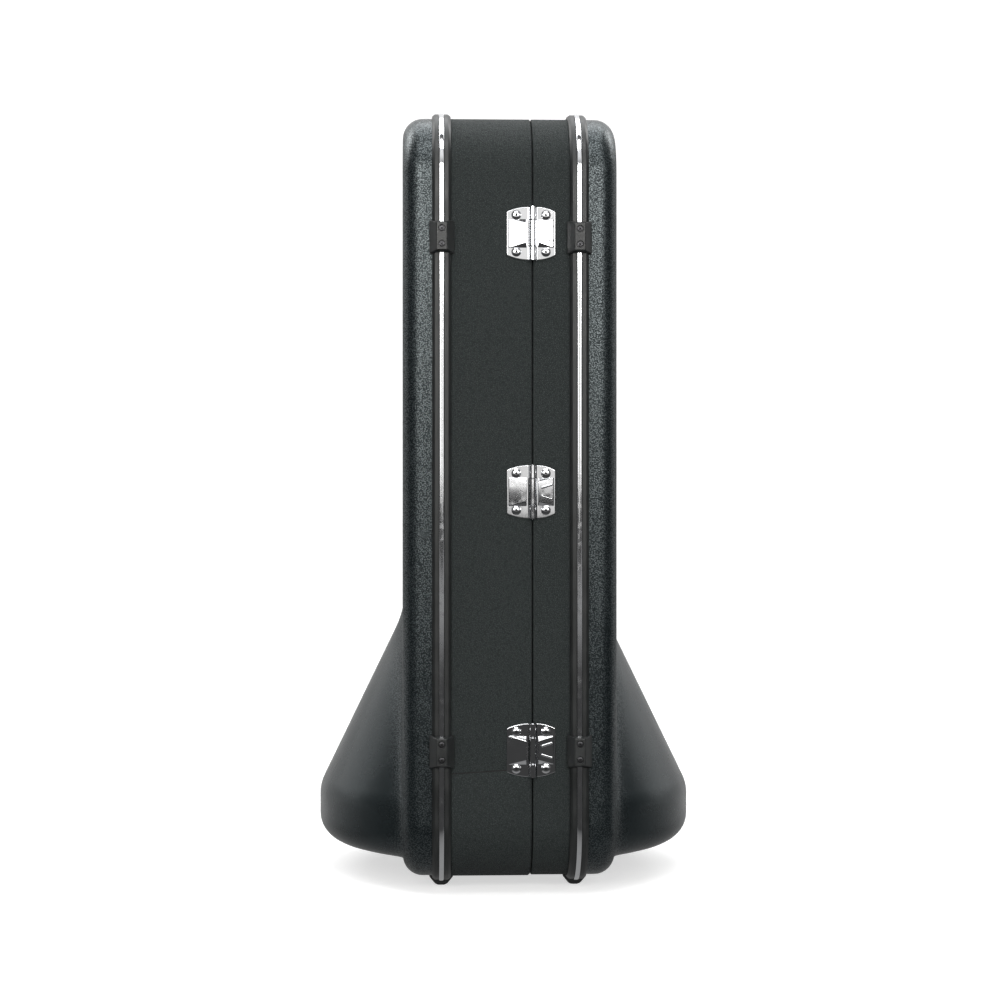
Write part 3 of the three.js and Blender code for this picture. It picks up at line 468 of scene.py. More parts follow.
def floor_material():
    """White paper. Glossy parts see a dimmer glow on it instead, a painted reflection: brighter close to the
    case and behind it, dark in front.
    """
    material, tree, shader, where = new_material("floor_paper", (0.56, 0.56, 0.56), 0.9)
    wire(tree, shader, Base_Color=tint(tree, noise(tree, where, 3), *FLOOR_GREYS))
    path = tree.nodes.new("ShaderNodeLightPath").outputs
    lift = add_node(tree, "ShaderNodeEmission", Color=(1, 1, 1, 1), Strength=FLOOR_LIFT)
    lifted = add_node(tree, "ShaderNodeAddShader", i0=shader.outputs[0], i1=lift.outputs[0])
    seen = mix_shaders(tree, path["Is Camera Ray"], shader, lifted)
    parts = split_xyz(tree, where)
    reach = add_node(tree, "ShaderNodeVectorMath", {"operation": "LENGTH"}, i0=where).outputs["Value"]
    near = remap(tree, reach, *FLOOR_UNDER)
    near = combine(tree, "MAXIMUM", near, remap(tree, parts["Y"], *FLOOR_BEHIND))
    far = remap(tree, reach, *FLOOR_FAR)
    far = combine(tree, "MAXIMUM", far, remap(tree, parts["Z"], *BACKDROP))
    # Painted reflection: a glow that glossy rays see in place of the lit paper
    dim = add_node(tree, "ShaderNodeEmission", Strength=combine(tree, "MAXIMUM", near, far))
    mirrored = mix_shaders(tree, path["Is Glossy Ray"], seen, dim)
    wire(tree, tree.nodes["Material Output"], Surface=mirrored.outputs[0])
    return material


SHELL = shell_material()
COVERING = covering_material()
# Near black, painted shade: the lap's cut edges drawn dark as a seam line, the crosses in the screws' heads
# and the holes in the rivets
PAINTED_SHADE_BLACK = plastic_material("painted_shade_black", (0.004, 0.004, 0.004), 0.9)
TRIM = plastic_material("trim_plastic", (0.0074, 0.0086, 0.0086), 0.4)
CLIP = plastic_material("clip_plastic", (0.0125, 0.0138, 0.014), 0.38)
GRIP = plastic_material("grip_plastic", (0.013, 0.013, 0.014), 0.38)
CHROME = chrome_material("bright_chrome", 0.05)
BEAD = chrome_material("bead_chrome", 0.08, wave=0.008)
STEEL = chrome_material("screw_steel", 0.36, (0.07, 0.07, 0.075), 0.02)
# Near black, so that the split between the halves shows a dark line: painted shade in the gap
DARKENED_LIP_ALUMINIUM = chrome_material("lip_aluminium_darkened_as_shade", 0.42, (0.05, 0.05, 0.055), 0.02)
PLUSH = plush_material("charcoal_plush", (0.016, 0.017, 0.021))


# Shells and linings

CUT_MARGIN = 5 * MM
SHELL_ANGLE = 22
LINING_ANGLE = 50
LINING_OVERLAP = 4 * MM
LINING_CUT = 6 * MM
LINING_WALL_END = 2 * MM


def slab_rings(side, inset, inner):
    """One half of the flat body, inset all round, its face's edges rounded."""
    rings = [[(side * inner, y, z) for y, z in outline(inset)]]
    for inwards, down in rounding(FACE_EDGE - inset, EDGE_STEPS):
        x = FLAT_FACE - inset - down
        rings.append([(side * x, y, z) for y, z in outline(inset + inwards)])
    return rings


def bulge_profile(inset, end):
    """Radius and height of the bulge, from the rim of its floor up to a radius of end."""
    radius, floor, edge = BULGE_RADIUS - inset, BULGE_FLOOR_Z + inset, BULGE_FLOOR_EDGE - inset
    points = arc(radius - edge, floor + edge, edge, 3, 1, EDGE_STEPS)
    crease = BULGE_CREASE_Z - inset * (math.hypot(1, BULGE_SLOPE) - 1)
    soft = BULGE_CREASE_SOFTNESS
    for step in range(CREASE_STEPS + 1):
        share = step / CREASE_STEPS
        points.append((radius - BULGE_SLOPE * soft * share ** 2, crease - soft + 2 * soft * share))
    top = crease + (radius - end) / BULGE_SLOPE
    for step in range(1, CONE_STEPS + 1):
        z = crease + soft + (top - crease - soft) * step / CONE_STEPS
        points.append((radius - BULGE_SLOPE * (z - crease), z))
    return points


def bulge_rings(inset, chord):
    """The bulge outside a chord, ring by ring: each point as x, y and z, for the side of plus X."""
    rings = []
    for radius, z in bulge_profile(inset, chord + BULGE_TIP):
        half = math.acos(chord / radius)
        angles = [half * (2 * i / BULGE_STEPS - 1) for i in range(BULGE_STEPS + 1)]
        rings.append([(radius * math.cos(a), BULGE_AXIS_Y + radius * math.sin(a), z) for a in angles])
    return rings


def inward(y, z):
    """How far a point of the lower body lies inside its outline."""
    near = min(y - SPINE_Y, LATCH_Y - y, z - BELL_Z)
    for edge, way, radius in ((SPINE_Y, 1, SPINE_CORNER), (LATCH_Y, -1, LATCH_CORNER)):
        across, down = radius - (y - edge) * way, BELL_Z + radius - z
        if across > 0 and down > 0:
            near = min(near, radius - math.hypot(across, down))
    return near


def face_reach(y, z):
    """How far out the body's face is at a point, its rounded edge counted in."""
    drop = FACE_EDGE - min(max(inward(y, z), 0), FACE_EDGE)
    return FLAT_FACE - FACE_EDGE + math.sqrt(FACE_EDGE ** 2 - drop ** 2)


def blended(a, b):
    """The larger of two reaches, eased into each other where they are close."""
    share = max(BLEND_REACH - abs(a - b), 0) / BLEND_REACH
    return max(a, b) + share ** 2 * BLEND_REACH / 4


def add_bulge_skin(shell, side):
    """The bulge's outer sheet, which runs out on the face in a soft hollow all round."""
    bm = bmesh.new()
    bm.from_mesh(shell.data)
    rings = []
    for ring in bulge_rings(0, FLAT_FACE - BLEND_REACH + SKIN_LIFT):
        outer = [(blended(face_reach(y, z) + SKIN_LIFT, x), y, z) for x, y, z in ring]
        inner = [(x - SKIN_THICKNESS, y, z) for x, y, z in reversed(outer)]
        rings.append([(side * x, y, z) for x, y, z in outer + inner])
    skin(bm, rings)
    bmesh.ops.recalc_face_normals(bm, faces=bm.faces)
    bm.to_mesh(shell.data)
    bm.free()


def body_half(name, side, inset, inner, material, under=0):
    """Flat body and bulge as one closed body."""
    whole = lofted(name, slab_rings(side, inset, inner), material)
    rings = bulge_rings(inset + under, FLAT_FACE - FACE_EDGE)
    rings = [[(side * x, y, z) for x, y, z in ring] for ring in rings]
    return boolean(whole, lofted("bulge_tool", rings, material), "UNION")


def plain_band(name, side, inset, inner, outer, material):
    """The flat body's wall between two distances from the middle, as a closed block."""
    return lofted(name, [[(side * x, y, z) for y, z in outline(inset)] for x in (inner, outer)], material)


def make_shell(half, side):
    """A shell half: body and bulge, hollow, with the bulge's outer sheet laid over them."""
    shell = body_half(f"{half}_shell_skin", side, 0, SHELL_RIM, SHELL, SKIN_THICKNESS / 2)
    inside = body_half("inside_tool", side, SHELL_WALL, SHELL_RIM - CUT_MARGIN, SHELL)
    boolean(shell, inside, "DIFFERENCE")
    add_bulge_skin(shell, side)
    settle(shell, SHELL_ANGLE)
    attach(shell, half)
    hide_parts(f"{half}_shell")


def make_lining(half, side):
    """Plush over the inside of the shell and the frame, up to near the split."""
    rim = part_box(f"{half}_lining")[1].x if side < 0 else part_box(f"{half}_lining")[0].x
    inner = side * rim
    lining = body_half(f"{half}_plush", side, LINING_SKIN, SHELL_RIM, PLUSH)
    outer_end, inner_end = SHELL_RIM + LINING_OVERLAP, FLAT_FACE - FACE_EDGE + LINING_WALL_END
    boolean(lining, plain_band("tool", side, LINING_SIDE, inner, outer_end, PLUSH), "UNION")
    hollow = body_half("tool", side, LINING_SKIN + LINING_THICKNESS, SHELL_RIM, PLUSH)
    inset = LINING_SIDE + LINING_THICKNESS
    boolean(hollow, plain_band("tool_b", side, inset, inner - LINING_CUT, inner_end, PLUSH), "UNION")
    boolean(lining, hollow, "DIFFERENCE")
    settle(lining, LINING_ANGLE)
    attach(lining, half)
    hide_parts(f"{half}_lining")


# Frames with their covering

COVERING_ROUNDS = (1.3 * MM, 1.3 * MM, 0.5 * MM, 0.5 * MM)
LAP = 0.7 * MM
LAP_UNDERSIDE = 0.15 * MM
LAP_FAR = -(TRIM_CENTRE - 9.6 * MM)
LAP_NEAR = BASE_EDGE - 1.6 * MM
LAP_LATCH_Z = BELL_Z + 150 * MM
LAP_COLUMNS = 12
SEAM_SPINE_Z = BELL_Z + 109.5 * MM
SEAM_RISE = 4.9 * MM
SEAM_TAPER = 1.1 * MM
LIP_GAP = 0.4 * MM
LIP_THICKNESS = 2 * MM
LIP_LEAN = 0.5 * MM
LIP_ROUNDS = (0.2 * MM, 0.7 * MM, 0.7 * MM, 0.2 * MM)


def make_frame(half, side):
    """The frame's covered band, its edges at the split and the trim turned over."""
    near, far = sorted((BASE_EDGE if side < 0 else LID_EDGE, side * FRAME_RIM))
    corners = [(near, 0), (far, 0), (far, -FRAME_WALL), (near, -FRAME_WALL)]
    band = hoop(f"{half}_covering", fillet(corners, COVERING_ROUNDS), COVERING, half)
    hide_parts(f"{half}_frame")


def make_lap():
    """The second sheet of covering on the base: it laps over the first on a slanting seam."""
    bm = bmesh.new()
    rows = []
    for i in range(LAP_COLUMNS + 1):
        x = LAP_FAR + (LAP_NEAR - LAP_FAR) * i / LAP_COLUMNS
        start = SEAM_SPINE_Z + SEAM_RISE * i / LAP_COLUMNS
        sheets = []
        for height, taper in ((LAP_UNDERSIDE, 0), (LAP, SEAM_TAPER)):
            bell_end = outline(-height)[:2 * (CORNER_STEPS + 1)]
            path = [(SPINE_Y - height, start - taper), *bell_end, (LATCH_Y + height, LAP_LATCH_Z - taper)]
            sheets.append([bm.verts.new((x, y, z)) for y, z in path])
        rows.append(sheets[1] + sheets[0][::-1])
    length = len(rows[0])
    ends = (length // 2 - 1, length - 1)
    for a, b in zip(rows, rows[1:]):
        for j in range(length):
            k = (j + 1) % length
            # The sheet's cut edges along the seam are near black: a seam line of painted shade
            bm.faces.new((a[j], b[j], b[k], a[k])).material_index = int(j in ends)
    for row in (rows[0], rows[-1]):
        for j in range(ends[0]):
            bm.faces.new((row[j], row[j + 1], row[-2 - j], row[-1 - j]))
    lap = add_object("base_covering_lap", bm, [COVERING, PAINTED_SHADE_BLACK], "base")


def make_lip():
    """The metal strip inside the rim that keys the halves together."""
    low, high = (c.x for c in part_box("alignment_lip"))
    outer, inner = -FRAME_WALL - LIP_GAP, -FRAME_WALL - LIP_GAP - LIP_THICKNESS
    corners = [(low, outer), (high, outer - LIP_LEAN), (high, inner), (low, inner)]
    # Dark, as painted shade in the split's gap
    lip = hoop("lip_extrusion", fillet(corners, LIP_ROUNDS), DARKENED_LIP_ALUMINIUM, "base")
    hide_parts("alignment_lip")


# Trims and beads

TRIM_JOINT = 1 * MM
BEAD_STEPS = 16
BEAD_SQUARENESS = 0.8
BEAD_FLATNESS = 0.62


def trim_section(side):
    """The trim's strip: a rounded top, a groove for the bead, and a tongue between shell and frame."""
    half, flank, groove, tongue = 9.3, 6.5, 2.65, 0.8
    top, shoulder, floor, seat, foot = 4.5, 2.4, 3.1, 0.3, -FRAME_WALL / MM
    # Across, above and radius of each corner, in millimetres
    corners = [
        (-half, seat, 0.3), (-half, shoulder, 1.6), (-flank, top, 1.6),
        (-groove, top, 0.35), (-groove, floor, 0), (groove, floor, 0), (groove, top, 0.35),
        (flank, top, 1.6), (half, shoulder, 1.6), (half, seat, 0.3),
        (tongue, seat, 0), (tongue, foot, 0), (-tongue, foot, 0), (-tongue, seat, 0),
    ]
    points = [(side * TRIM_CENTRE + x * MM, height * MM) for x, height, _ in corners]
    return fillet(points, [r * MM for _, _, r in corners], 3)


def bead_section(side):
    """The bead's half-round section, its crown flattened."""
    half, low, shoulder, crown = 2.4 * MM, 3.4 * MM, 4.5 * MM, 5.6 * MM
    points = [(-half, low), (-half, shoulder)]
    for i in range(1, BEAD_STEPS):
        angle = math.pi * (1 - i / BEAD_STEPS)
        across = math.copysign(abs(math.cos(angle)) ** BEAD_SQUARENESS, math.cos(angle))
        points.append((half * across, shoulder + (crown - shoulder) * math.sin(angle) ** BEAD_FLATNESS))
    points += [(half, shoulder), (half, low)]
    return [(side * TRIM_CENTRE + x, height) for x, height in points]


def make_trims(half, side):
    """Each trim and its bead: one length on the spine between the clips, one round the rest."""
    low, high = (corner.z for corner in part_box(f"{half}_trim_spine"))
    routes = {
        "wrap": lambda inset: open_outline(inset, low - TRIM_JOINT, high + TRIM_JOINT),
        "spine": lambda inset: [(SPINE_Y + inset, low), (SPINE_Y + inset, high)],
    }
    for route, path in routes.items():
        for part, section, material, slot in (
            ("trim", trim_section(side), TRIM, "trim_plastic"),
            ("bead", bead_section(side), BEAD, "chrome_bead"),
        ):
            name = f"{half}_{part}_{route}"
            piece = hoop(f"{name}_fine", section, material, half, path)
            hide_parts(name)


# Clips

CLIP_LENGTH = 32 * MM
CLIP_WIDTH = 24 * MM
CLIP_HEIGHT = 12.5 * MM
CLIP_FLANK = 3.6 * MM
CLIP_PLATEAU = 10 * MM
CLIP_END_SLOPE = 2.5 * MM
CLIP_EDGE = 0.9 * MM
CLIP_SEAT = 0.3 * MM
CLIP_ROUNDS = (2.6 * MM, 1.2 * MM)
FOOT_ROUNDS = (7 * MM, 3.5 * MM)
CHANNEL_HALF = 9.6 * MM
CHANNEL_WALL = 2.9 * MM
CHANNEL_ROOF = 5.9 * MM
CHANNEL_SHOULDER = 3 * MM
SCREW_RISE = 7.6 * MM
SCREW_RECESS = 1.4 * MM
CLIP_STEPS = 4
CLIP_ANGLE = 32

# Radius and height of the recess, and of the screw in it, then the cross in the screw's head, a near-black
# block of painted shade
RECESS = mm([(3.3, 0), (3.3, 0.98), (3.795, 1.54), (4.29, 2.8)])
SCREW_HEAD = mm([(2.7, -0.3), (2.7, 0.4), (2.592, 0.55), (2.322, 0.66), (1.35, 0.7)])
SCREW_ARM = (1.566 * MM, 0.351 * MM)
SCREW_CROSS = (0.5 * MM, 0.74 * MM)


def clip_body(at, ridge, flank):
    """The rings of a clip's rounded block. at(x, h, s) gives a place across, above and along the trim."""
    half, plateau = CLIP_WIDTH / 2, CLIP_PLATEAU / 2
    corners = [(-half, CLIP_SEAT), (half, CLIP_SEAT), (half, CLIP_FLANK),
               (plateau, CLIP_HEIGHT), (-plateau, CLIP_HEIGHT), (-half, CLIP_FLANK)]
    section = fillet(corners, [0, 0, flank, ridge, ridge, flank], 6)
    rows = []
    for way in (-1, 1):
        for inwards, down in rounding(CLIP_EDGE, CLIP_STEPS)[::-way]:
            rim = inset_polygon(section, down)
            ring = []
            for (x, h), (_, full_h) in zip(rim, section):
                share = min(max((full_h - CLIP_FLANK) / (CLIP_HEIGHT - CLIP_FLANK), 0), 1)
                end = CLIP_LENGTH / 2 - CLIP_END_SLOPE * share ** 1.5 - inwards
                ring.append(at(x, max(h, CLIP_SEAT), way * end))
            rows.append(ring)
    return rows


def channel_tool(at):
    """What a clip's channel takes away: the trim's form and some room, right through."""
    roof, shoulder = CHANNEL_ROOF, CHANNEL_HALF - CHANNEL_SHOULDER
    profile = [(-CHANNEL_HALF, -CLIP_HEIGHT), (CHANNEL_HALF, -CLIP_HEIGHT), (CHANNEL_HALF, CHANNEL_WALL),
               (shoulder, roof), (-shoulder, roof), (-CHANNEL_HALF, CHANNEL_WALL)]
    rings = [[at(x, h, s) for x, h in profile] for s in (-CLIP_LENGTH, CLIP_LENGTH)]
    return lofted("channel_tool", rings, CLIP)


def screw(bm, centre, out):
    """A flat-topped screw with a cross of painted shade, a near-black block, in its head."""
    lathe(bm, SCREW_HEAD, centre, out, 24)
    first = out.orthogonal().normalized()
    second = out.cross(first)
    for a, b in (SCREW_ARM, SCREW_ARM[::-1]):
        corners = [(-a, -b), (a, -b), (a, b), (-a, b)]
        rows = [[centre + first * x + second * y + out * h for x, y in corners] for h in SCREW_CROSS]
        # The cross is near black: painted shade standing for a recess in the head
        skin(bm, rows, material=1)


def make_clips(half):
    """Two clips on the spine and two feet: each a block over the trim, with two sunk screws."""
    for node in (f"{half}_clip_low", f"{half}_clip_high", f"{half}_foot_front", f"{half}_foot_rear"):
        on_spine = "clip" in node
        low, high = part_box(node)
        middle = (low + high) / 2

        def at(x, h, s):
            if on_spine:
                return Vector((middle.x + x, SPINE_Y - h, middle.z + s))
            return Vector((middle.x + x, middle.y + s, BELL_Z - h))

        out = Vector((0, -1, 0)) if on_spine else Vector((0, 0, -1))
        block = clip_body(at, *(CLIP_ROUNDS if on_spine else FOOT_ROUNDS))
        moulding = lofted(f"{node}_moulding", block, CLIP)
        boolean(moulding, channel_tool(at), "DIFFERENCE")
        screws = bmesh.new()
        for way in (-1, 1):
            seat = at(0, CLIP_HEIGHT - SCREW_RECESS, way * SCREW_RISE)
            bm = bmesh.new()
            lathe(bm, RECESS, seat, out)
            boolean(moulding, add_object("recess_tool", bm, [CLIP]), "DIFFERENCE")
            screw(screws, seat, out)
        settle(moulding, CLIP_ANGLE)
        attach(moulding, half)
        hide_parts(node)
        heads = add_object(f"{node}_screws", screws, [STEEL, PAINTED_SHADE_BLACK], half, 30)


# Hinges

PLATE_STEPS = 5
MITRE_LIMIT = 0.3
LEAF_SEAT = 0.3 * MM
LEAF_TOP = 1.5 * MM
LEAF_NEAR_HALF = 26.2 * MM
LEAF_FAR_HALF = 21.5 * MM
LEAF_CORNER = 2.2 * MM
LEAF_EDGE = 0.9 * MM
LEAF_NOTCH = 3.7 * MM
ARCH_STEPS = 10
KNUCKLE_BORE = 1.7 * MM
KNUCKLE_RADIUS = 3.1 * MM
KNUCKLE_EDGE = 0.45 * MM
STRAP_START = 0.6 * MM
STRAP_CROWN = 1.2 * MM
STRAP_TOP = 1.9 * MM
LEAVES = {
    # Way out, reach and knuckles, then the panel's gap to the notch, half height, rise and slope
    "base": (-1, 25.5 * MM, mm([(13.25, 26.5), (-26.5, -13.25)]), 2 * MM, 14.4 * MM, 3.1 * MM, 5.2 * MM),
    "lid": (1, 22.5 * MM, mm([(-12.75, 12.75)]), 1.4 * MM, 14 * MM, 2.8 * MM, 4.8 * MM),
}
PANEL_INSET = 1.4 * MM
PANEL_SINK = 0.2 * MM
PANEL_CORNER = 0.9 * MM
PANEL_FAR_SHARE = 0.14
PANEL_FAR_SLOPE = 1.2 * MM
PANEL_NEAR_SLOPE = 0.7 * MM
BASE_PANEL_LEAST = 0.14
LID_PANEL_LEAST = 0.5

# The panel's flank: how far in, and how far up, as shares of its slope and its height
PANEL_FLANK = ((0, 0), (0.08, 0.06), (0.3, 0.3), (0.7, 0.72), (0.9, 0.92), (1.0, 0.985), (1.1, 1.0))

# A rib's two ends, the widths and heights of its flank, then radii and heights of rivets and pin
RIB_ENDS = mm([(9.4, 4.2), (18.6, 7)])
RIB_FLANK = mm([(1.35, -0.3), (1.2, 0.1), (0.8, 0.55), (0.3, 0.75)])
RIB_STEPS = 8
RIVET_INSET = 9.5 * MM
RIVET_RISE = 18 * MM
RIVET = mm([
    (4.8, -0.2), (4.8, 0.1), (4, 0.6), (3.5, 1.05), (2.6, 1.38), (1.5, 1.5), (1.15, 1.5), (0.95, 0.9),
])
# The rivet's hole: a near-black plug of painted shade
RIVET_HOLE = mm([(0.9, 0.5), (0.9, 1.1)])
PIN = mm([(0.7, -26.8), (1.3, -26.45), (1.4, -26), (1.4, 26), (1.3, 26.45), (0.7, 26.8)])


def lathe(bm, profile, origin, axis, sides=28, material=0):
    """A closed turned body: profile is (radius, height along axis), ends capped."""
    axis = Vector(axis).normalized()
    first = axis.orthogonal().normalized()
    second = axis.cross(first)
    stations = [(Vector(origin) + axis * height, radius) for radius, height in profile]
    rows = [circle(centre, first, second, radius, around(sides)) for centre, radius in stations]
    skin(bm, rows, material=material)


def plate(bm, points, at, low, high, edge):
    """A flat plate from its outline, its outer edge rounded. at(u, w, n) gives a place."""
    levels = [(0, low)] + [(inwards, high - down) for inwards, down in rounding(edge, PLATE_STEPS)]
    skin(bm, [[at(u, w, height) for u, w in inset_polygon(points, inset)] for inset, height in levels])


def inset_polygon(points, distance):
    """The polygon with every side moved inwards. Points run anticlockwise."""
    if not distance:
        return points
    out = []
    count = len(points)
    for i, point in enumerate(points):
        here = Vector(point)
        a = (here - Vector(points[i - 1])).normalized()
        b = (Vector(points[(i + 1) % count]) - here).normalized()
        normal_a, normal_b = Vector((-a.y, a.x)), Vector((-b.y, b.x))
        stretch = distance / max(1 + normal_a.dot(normal_b), MITRE_LIMIT)
        out.append(tuple(here + (normal_a + normal_b) * stretch))
    return out


def panel_height(u, far, near, height):
    """A pressed panel rises towards the pin, the narrow lid leaf's from a higher far edge."""
    least = LID_PANEL_LEAST if far > near else BASE_PANEL_LEAST
    return height * (least + (1 - least) * (u - far) / (near - far))


def pressed_panel(bm, far, near, half, at, base, height, slope):
    """A raised panel whose sides slope, the more so towards the pin."""
    way = 1 if near > far else -1
    rows = []
    for inwards, up in PANEL_FLANK:
        far_half, near_half = half - slope * PANEL_FAR_SHARE * inwards, half - slope * inwards
        far_u, near_u = far + way * PANEL_FAR_SLOPE * inwards, near - way * PANEL_NEAR_SLOPE * inwards
        box = [(far_u, -far_half), (near_u, -near_half), (near_u, near_half), (far_u, far_half)]
        ring = fillet(box, [PANEL_CORNER] * 4)
        rows.append([at(u, w, base + panel_height(u, far, near, height) * up) for u, w in ring])
    skin(bm, rows)


def arched(near, far, near_half, far_half, corner):
    """A leaf's outline, anticlockwise: its ends arch down towards the far edge."""
    edge = []
    for i in range(ARCH_STEPS + 1):
        share = i / ARCH_STEPS
        edge.append((near + (far - near) * share, near_half - (near_half - far_half) * share ** 2))
    points = edge + [(u, -w) for u, w in reversed(edge)]
    if far > near:
        points.reverse()
    radii = [corner if abs(u - edge[-1][0]) < WELD else 0.0 for u, _ in points]
    return fillet(points, radii, 5)


def make_hinge(station):
    """A hinge of two pressed leaves with rolled knuckles, their rivets, and the pin."""
    low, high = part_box(f"hinge_{station}_pin")
    axis = (low + high) / 2

    def at(u, w, n):
        return Vector((axis.x + u, SPINE_Y - n, axis.z + w))

    def knuckle(bm, way, low, high):
        """A barrel round the pin, and the leaf's stock where it rises to it."""
        bore, radius, edge = KNUCKLE_BORE, KNUCKLE_RADIUS, KNUCKLE_EDGE
        profile = [(bore, low), (radius - edge, low), (radius, low + edge),
                   (radius, high - edge), (radius - edge, high), (bore, high)]
        lathe(bm, profile, axis, (0, 0, 1), 32)
        inner, outer = STRAP_START * way, (LEAF_NOTCH + STRAP_START) * way
        crown = SPINE_Y - axis.y + STRAP_CROWN
        strap = [(outer, LEAF_SEAT), (outer, LEAF_TOP), (inner + STRAP_TOP * way, crown),
                 (inner, crown), (inner, LEAF_SEAT)]
        skin(bm, [[at(u, w, n) for u, n in strap] for w in (low, high)])

    for body, (way, reach, knuckles, gap, panel_half, rise, slope) in LEAVES.items():
        far, panel_near = way * reach, way * (LEAF_NOTCH + gap)
        panel_far, panel_base = far - way * PANEL_INSET, LEAF_TOP - PANEL_SINK
        leaf_outline = arched(way * LEAF_NOTCH, far, LEAF_NEAR_HALF, LEAF_FAR_HALF, LEAF_CORNER)
        bm = bmesh.new()
        plate(bm, leaf_outline, at, LEAF_SEAT, LEAF_TOP, LEAF_EDGE)
        pressed_panel(bm, panel_far, panel_near, panel_half, at, panel_base, rise, slope)
        for low, high in knuckles:
            knuckle(bm, way, low, high)
        for side in (-1, 1):
            if body == "lid":
                rib(bm, at, side, panel_base, panel_far, panel_near, rise)
            spot = at(far - way * RIVET_INSET, side * RIVET_RISE, LEAF_TOP)
            lathe(bm, RIVET, spot, (0, -1, 0))
            # The hole in each rivet is a near-black plug of painted shade
            lathe(bm, RIVET_HOLE, spot, (0, -1, 0), 16, 1)
        node = f"hinge_{station}_{body}_leaf"
        leaf = weigh(add_object(f"{node}_pressing", bm, [CHROME, PAINTED_SHADE_BLACK], body, 30))
        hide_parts(node)
    bm = bmesh.new()
    lathe(bm, PIN, axis, (0, 0, 1), 20)
    pin = add_object(f"hinge_{station}_pin_wire", bm, [CHROME], "base")
    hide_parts(f"hinge_{station}_pin")


def rib(bm, at, side, base, far, near, height):
    """One of the two stiffening ribs that fan out on the lid leaf's panel."""
    start, end = (Vector((u, side * w)) for u, w in RIB_ENDS)
    along = (end - start).normalized()
    across = Vector((-along.y, along.x))
    rows = []
    for width, rise in RIB_FLANK:
        ring = []
        for centre, turn in ((end, -0.5), (start, 0.5)):
            angles = [math.pi * (turn + i / RIB_STEPS) for i in range(RIB_STEPS + 1)]
            ring += circle(centre, along, across, width, angles)
        rows.append([at(u, w, base + panel_height(u, far, near, height) + rise) for u, w in ring])
    skin(bm, rows)


# Latches, handle and nest

LATCH_PARTS = {
    # The body each part rides on, and how far its edges are rounded
    "plate": ("base", 0.35 * MM), "keeper": ("lid", 0.35 * MM),
    "lever": ("lever_{}", 0.4 * MM), "bail": ("bail_{}", 0.25 * MM),
}


def make_latches():
    """The latches' parts, with rounded edges."""
    for station in LATCHES:
        for part, (body, width) in LATCH_PARTS.items():
            node = f"latch_{station}_{part}"
            piece = from_node(node, f"{node}_fine", CHROME, body.format(station), width)


MOUNT_HEIGHT = 10.5 * MM
MOUNT_SEAT = 0.3 * MM
MOUNT_TOP = 1.9 * MM
MOUNT_INNER = 6.6 * MM
MOUNT_SHOULDER = 21.6 * MM
MOUNT_FAR = 28.6 * MM
MOUNT_WIDE = 13 * MM
MOUNT_NARROW = 10 * MM
MOUNT_EDGE = 0.8 * MM
SHIELD_ROUNDS = (1 * MM, 1 * MM, 4 * MM, 3 * MM, 3 * MM, 4 * MM)
EAR_RADIUS = 5.2 * MM
EAR_FOOT = 7.3 * MM
EAR_FAR = 8.8 * MM
EAR_EDGE = 0.7 * MM
EAR_STEPS = 14
MOUNT_PIN = mm([(2, -6), (2, 8.8), (3.1, 8.8), (3.1, 9.2), (2.4, 9.8), (1.2, 10.1)])
MOUNT_RIVET = mm([(4.2, -0.2), (4.2, 0.1), (3.5, 0.55), (3, 1), (2.1, 1.35), (1, 1.45)])
MOUNT_RIVET_PLACE = (6.5 * MM, 18.2 * MM)


def make_mount(end, pivot, eye_z, way):
    """A handle mount: a shield-shaped foot held by two rivets, with an ear and the pin it carries."""
    def at(u, w, n):
        return Vector((pivot[0] + u, pivot[1] - MOUNT_HEIGHT + n, eye_z + way * w))

    bm = bmesh.new()
    wide, narrow, shoulder = MOUNT_WIDE, MOUNT_NARROW, MOUNT_SHOULDER
    shield = [(-wide, MOUNT_INNER), (wide, MOUNT_INNER), (wide, shoulder),
              (narrow, MOUNT_FAR), (-narrow, MOUNT_FAR), (-wide, shoulder)]
    plate(bm, fillet(shield, SHIELD_ROUNDS, 6), at, MOUNT_SEAT, MOUNT_TOP, MOUNT_EDGE)
    turns = [math.pi * i / EAR_STEPS for i in range(EAR_STEPS + 1)]
    ear = [(-EAR_FOOT, MOUNT_SEAT), (EAR_FOOT, MOUNT_SEAT)]
    ear += [(EAR_RADIUS * math.cos(a), MOUNT_HEIGHT + EAR_RADIUS * math.sin(a)) for a in turns]
    plate(bm, ear, lambda u, w, n: at(u, n, w), MOUNT_INNER, EAR_FAR, EAR_EDGE)
    lathe(bm, MOUNT_PIN, (pivot[0], pivot[1], eye_z), (0, 0, way), 24)
    for side in (-1, 1):
        across, along = MOUNT_RIVET_PLACE
        lathe(bm, MOUNT_RIVET, at(side * across, along, MOUNT_TOP), (0, 1, 0), 24)
    node = f"handle_mount_{end}"
    mount = add_object(f"{node}_pressing", bm, [CHROME], "base", 40)
    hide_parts(node)


GRIP_EYE_INSET = 6 * MM
GRIP_CLEARANCE = 8.5 * MM
GRIP_SET = 2 * MM
GRIP_STEPS = 56
GRIP_SIDES = 24
GRIP_BOW = 3.4
GRIP_RADIUS = 8.2 * MM
GRIP_FLATNESS = 0.94
GRIP_TAPER = 0.3
GRIP_TAPER_POWER = 2.5
FINGER_RIDGE = 0.28 * MM
RIDGE_WAVES = 3.6
RIDGE_REACH = 0.72
GRIP_EYE = mm([(2.4, -6), (4.9, -6), (5.5, -5.3), (5.5, 5.3), (4.9, 6), (2.4, 6)])


